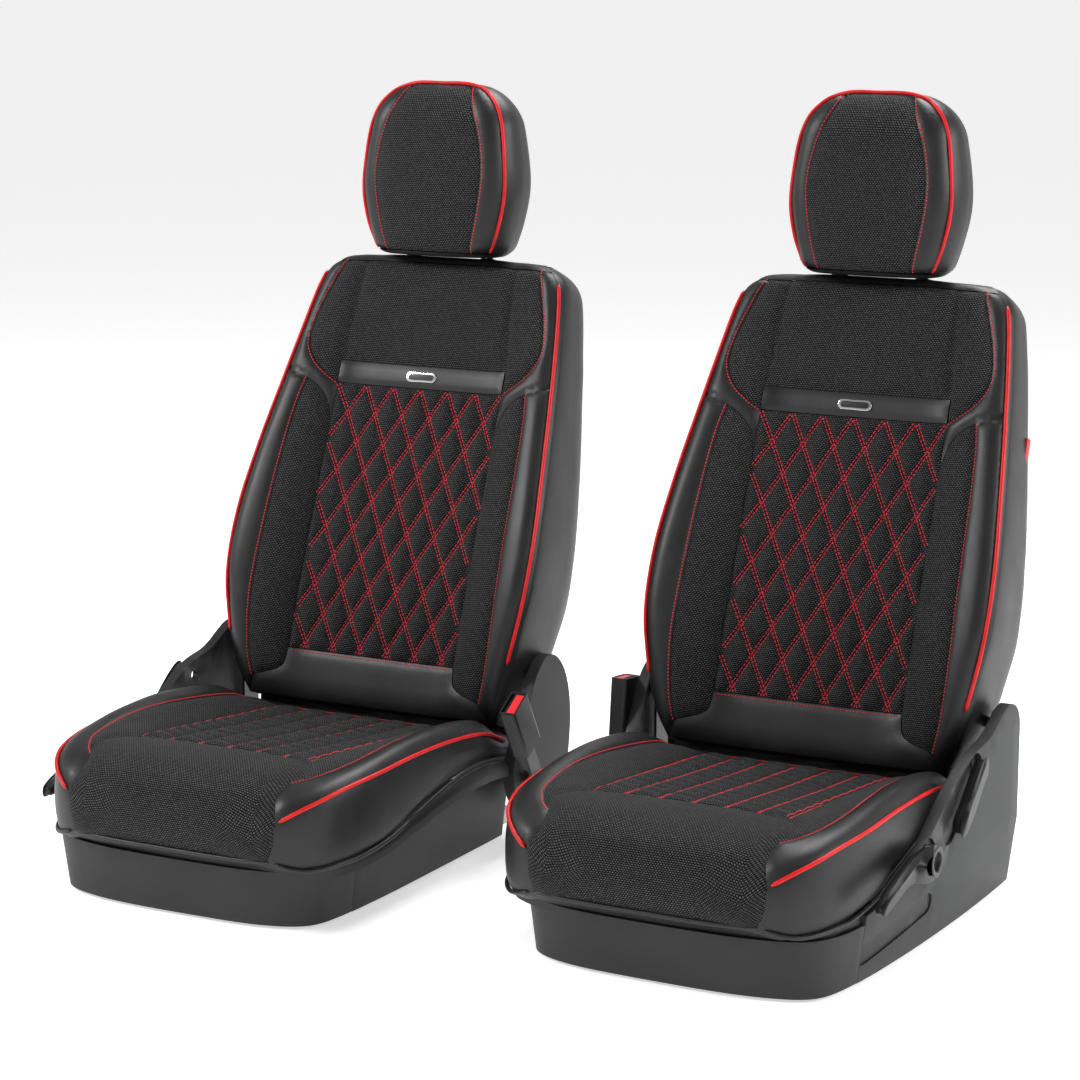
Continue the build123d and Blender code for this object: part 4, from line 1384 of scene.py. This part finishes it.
def leather():
    """Black artificial leather with a fine pebble grain, paler where it is stretched over an edge."""
    made, tree, shader = material("leather", (0.014, 0.014, 0.015), 0.42)
    vector = coordinates(tree, "Object", 1000.0)
    cells = tree.nodes.new("ShaderNodeTexVoronoi")
    cells.feature = "DISTANCE_TO_EDGE"
    cells.inputs["Scale"].default_value = 0.75
    tree.links.new(vector, cells.inputs["Vector"])
    pebble = spread(tree, cells.outputs["Distance"], 0.0, 2.4)
    slow = noise_node(tree, vector, 0.018, 3.0)
    colour = ramp(tree, slow, (0.0055, 0.0055, 0.006), (0.010, 0.010, 0.0105))
    colour = worn_edges(tree, colour, (0.028, 0.028, 0.029), 0.5)
    tree.links.new(colour, shader.inputs["Base Color"])
    tree.links.new(spread(tree, slow, 0.36, 0.52), shader.inputs["Roughness"])
    crease = noise_node(tree, vector, 0.09, 2.0)
    bump(tree, shader, [(pebble, 0.22, 0.0003), (crease, 0.12, 0.0012)])
    shader.inputs["Specular IOR Level"].default_value = 0.42
    return made


def red_cord():
    """Red artificial leather over a cord."""
    made, tree, shader = material("red_cord", (0.6, 0.012, 0.014), 0.4)
    vector = coordinates(tree, "Object", 1000.0)
    slow = noise_node(tree, vector, 0.05, 3.0)
    fine = noise_node(tree, vector, 1.1, 2.0)
    tree.links.new(ramp(tree, slow, (0.52, 0.004, 0.006), (0.66, 0.008, 0.010)), shader.inputs["Base Color"])
    bump(tree, shader, [(fine, 0.25, 0.0003)])
    shader.inputs["Specular IOR Level"].default_value = 0.3
    tree.links.new(spread(tree, fine, 0.32, 0.5), shader.inputs["Roughness"])
    return made


def red_thread():
    """Red twisted sewing thread."""
    made, tree, shader = material("red_thread", (0.55, 0.014, 0.03), 0.55)
    vector = coordinates(tree, "Object", 1000.0)
    twist = noise_node(tree, vector, 2.5, 2.0)
    tree.links.new(ramp(tree, twist, (0.55, 0.008, 0.02), (0.85, 0.02, 0.05)), shader.inputs["Base Color"])
    bump(tree, shader, [(twist, 0.4, 0.0002)])
    return made


def moulded(name, low, high, roughness, grain=0.25, edge=(0.12, 0.12, 0.125)):
    """Moulded plastic with a fine spark-eroded grain and paler edges."""
    made, tree, shader = material(name, low, roughness)
    vector = coordinates(tree, "Object", 1000.0)
    fine = noise_node(tree, vector, 1.0, 3.0)
    slow = noise_node(tree, vector, 0.012, 2.0)
    colour = worn_edges(tree, ramp(tree, slow, low, high), edge, 0.6)
    tree.links.new(colour, shader.inputs["Base Color"])
    tree.links.new(spread(tree, fine, roughness - 0.08, roughness + 0.1), shader.inputs["Roughness"])
    shader.inputs["Specular IOR Level"].default_value = 0.32
    bump(tree, shader, [(fine, grain, 0.0004)])
    return made


def metal(name, low, high, roughness, scratch=0.1):
    """Bare or plated metal with faint brushing."""
    made, tree, shader = material(name, low, roughness, metallic=1.0)
    vector = coordinates(tree, "Object", 1000.0)
    slow = noise_node(tree, vector, 0.06, 5.0)
    fine = noise_node(tree, vector, 0.9, 2.0)
    tree.links.new(ramp(tree, slow, low, high), shader.inputs["Base Color"])
    tree.links.new(spread(tree, slow, roughness * 0.7, roughness * 1.3), shader.inputs["Roughness"])
    bump(tree, shader, [(fine, scratch, 0.0001)])
    return made


def finishes():
    """Every finish, by name."""
    return {
        "mesh": air_mesh(),
        "leather": leather(),
        "piping": red_cord(),
        "thread": red_thread(),
        "trim": moulded("trim_plastic", (0.017, 0.0175, 0.0185), (0.023, 0.0235, 0.0245), 0.5),
        "lever": moulded("lever_plastic", (0.012, 0.012, 0.0125), (0.017, 0.017, 0.0175), 0.36, 0.12),
        "buckle": moulded("buckle_plastic", (0.006, 0.006, 0.0065), (0.009, 0.009, 0.0095), 0.34, 0.12),
        "button": moulded("button_plastic", (0.62, 0.015, 0.02), (0.7, 0.02, 0.03), 0.35, 0.1,
                          (0.8, 0.1, 0.1)),
        "tag": moulded("tag_fabric", (0.55, 0.01, 0.015), (0.65, 0.015, 0.02), 0.6, 0.5, (0.7, 0.05, 0.05)),
        "guide": moulded("guide_plastic", (0.012, 0.012, 0.013), (0.018, 0.018, 0.019), 0.4, 0.15),
        "chrome": metal("chrome", (0.62, 0.63, 0.64), (0.72, 0.73, 0.74), 0.16),
        "steel": metal("painted_steel", (0.05, 0.05, 0.052), (0.08, 0.08, 0.083), 0.45, 0.2),
        "rail": metal("rail_steel", (0.32, 0.32, 0.33), (0.42, 0.42, 0.43), 0.35, 0.2),
    }


NODE_FINISH = {
    "backrest_badge": "chrome",
    "backrest_tag": "tag",
    "backrest_frame": "steel",
    "cushion_frame": "steel",
    "recliners": "steel",
    "sliding_rails": "rail",
    "headrest_posts": "chrome",
    "headrest_guides": "guide",
    "headrest_button": "guide",
    "front_trim": "trim",
    "inboard_trim": "trim",
    "outboard_trim": "trim",
    "recliner_cover": "trim",
    "height_lever": "lever",
    "recline_lever": "lever",
    "buckle_stalk": "buckle",
    "buckle_housing": "buckle",
    "buckle_button": "button",
}


BEVELLED = {
    "outboard_trim": 0.0022,
    "recliner_cover": 0.0022,
    "front_trim": 0.0012,
    "inboard_trim": 0.0012,
    "buckle_housing": 0.0014,
    "buckle_button": 0.001,
    "headrest_guides": 0.0008,
}


def soften_edges(obj, width):
    """Rounds a moulded part's sharp edges, which its CAD model leaves square."""
    weld_points = obj.modifiers.new("weld", "WELD")
    weld_points.merge_threshold = 0.00002
    bevel = obj.modifiers.new("soft_edges", "BEVEL")
    bevel.width = width
    bevel.segments = 3
    bevel.limit_method = "ANGLE"
    bevel.angle_limit = math.radians(40)
    bevel.use_clamp_overlap = True
    bevel.harden_normals = True


def finish_nodes(nodes, finish):
    """Gives every shown CAD node its finish."""
    for name, obj in nodes.items():
        kind = name.split("_", 1)[1]
        chosen = finish["rail"] if name == "floor_rails" else finish.get(NODE_FINISH.get(kind, "trim"))
        obj.data.materials.clear()
        obj.data.materials.append(chosen)
        if kind in BEVELLED:
            soften_edges(obj, BEVELLED[kind])


# ---- studio ----
def area_light(name, place, target, size, power):
    """A soft square light aimed at a point."""
    lamp = bpy.data.lights.new(name, "AREA")
    lamp.size = size
    lamp.energy = power
    obj = bpy.data.objects.new(name, lamp)
    obj.location = place
    obj.rotation_euler = (Vector(target) - Vector(place)).to_track_quat("-Z", "Y").to_euler()
    bpy.context.scene.collection.objects.link(obj)


def studio():
    """Pale floor, a sky that is brightest at the horizon, and three soft lights."""
    world = bpy.data.worlds.new("studio")
    world.use_nodes = True
    background = world.node_tree.nodes["Background"]
    tree = world.node_tree
    direction = tree.nodes.new("ShaderNodeTexCoord")
    parts = tree.nodes.new("ShaderNodeSeparateXYZ")
    tree.links.new(direction.outputs["Generated"], parts.inputs["Vector"])
    height = tree.nodes.new("ShaderNodeMapRange")
    for socket, value in (("From Min", 0.10), ("From Max", 0.45), ("To Min", 1.0), ("To Max", 0.30)):
        height.inputs[socket].default_value = value
    tree.links.new(parts.outputs["Z"], height.inputs["Value"])
    tree.links.new(height.outputs["Result"], background.inputs["Strength"])
    background.inputs["Color"].default_value = (1, 1, 1, 1)
    bpy.context.scene.world = world
    bpy.context.scene.view_settings.view_transform = "Standard"
    half = 260.0
    corners = [(-half, -half, 0), (half, -half, 0), (half, half, 0), (-half, half, 0)]
    floor = new_object("studio_floor", corners, [(0, 1, 2, 3)], smooth=False)
    pale, _, shader = material("studio_floor", (0.84, 0.84, 0.84), 0.8)
    shader.inputs["Specular IOR Level"].default_value = 0.1
    shader.inputs["Emission Color"].default_value = (1, 1, 1, 1)
    shader.inputs["Emission Strength"].default_value = 0.56
    floor.data.materials.append(pale)
    area_light("key", (-3.0, -2.2, 3.0), (0, 0, 0.5), 1.1, 130)
    area_light("side", (4.2, 0.6, 2.3), (0.3, 0, 0.5), 1.0, 110)
    area_light("top", (0.2, 1.6, 3.4), (0, 0, 0.6), 1.6, 110)


def camera():
    """The camera at the viewing angle."""
    data = bpy.data.cameras.new("camera")
    data.sensor_width = 36.0
    data.lens = 98.5
    data.clip_end = 2000.0
    obj = bpy.data.objects.new("camera", data)
    azimuth, elevation = math.radians(27.3), math.radians(11.7)
    back = Vector((math.sin(azimuth) * math.cos(elevation), -math.cos(azimuth) * math.cos(elevation),
                   math.sin(elevation)))
    obj.location = (1.88, -3.67, 1.337)
    obj.rotation_euler = (-back).to_track_quat("-Z", "Y").to_euler()
    bpy.context.scene.collection.objects.link(obj)
    bpy.context.scene.camera = obj


# ---- the scene ----
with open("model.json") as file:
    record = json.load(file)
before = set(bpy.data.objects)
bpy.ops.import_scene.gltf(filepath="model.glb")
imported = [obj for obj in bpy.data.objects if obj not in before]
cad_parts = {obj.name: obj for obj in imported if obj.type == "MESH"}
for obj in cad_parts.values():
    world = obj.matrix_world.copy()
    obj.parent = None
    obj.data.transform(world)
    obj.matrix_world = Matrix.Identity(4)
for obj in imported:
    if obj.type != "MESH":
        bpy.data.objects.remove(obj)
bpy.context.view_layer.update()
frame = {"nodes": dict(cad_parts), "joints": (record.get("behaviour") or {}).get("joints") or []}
recline_at = {
    joint["name"]: joint["pos_m"] for joint in frame["joints"] if joint["name"].endswith("_recline")
}
DRIVER_X, DRIVER_Y, PIVOT_Z = [value * 1000 for value in recline_at["driver_recline"]]
PASSENGER_X, PASSENGER_Y, _ = [value * 1000 for value in recline_at["passenger_recline"]]
seat = Matrix.Translation((DRIVER_X, DRIVER_Y, 0))
leaning = seat @ Matrix.Translation((0, 0, PIVOT_Z)) @ Matrix.Rotation(math.radians(-LEAN), 4, "X")
head = (leaning @ Matrix.Translation((0, -HEAD_BASE_N, HEAD_BASE_S))
        @ Matrix.Rotation(math.radians(LEAN - HEAD_TILT), 4, "X"))
DRIVER_X, DRIVER_Y = DRIVER_X / 1000, DRIVER_Y / 1000
PASSENGER_X, PASSENGER_Y = PASSENGER_X / 1000, PASSENGER_Y / 1000
finish = finishes()
finish_nodes(frame["nodes"], finish)
make_backrest(leaning, finish)
make_cushion(seat, finish)
make_headrest(head, finish)
make_flaps(seat, finish)
make_skirts(seat, finish)
make_controls(seat, finish)
make_badge(leaning, finish)
studio()
camera()
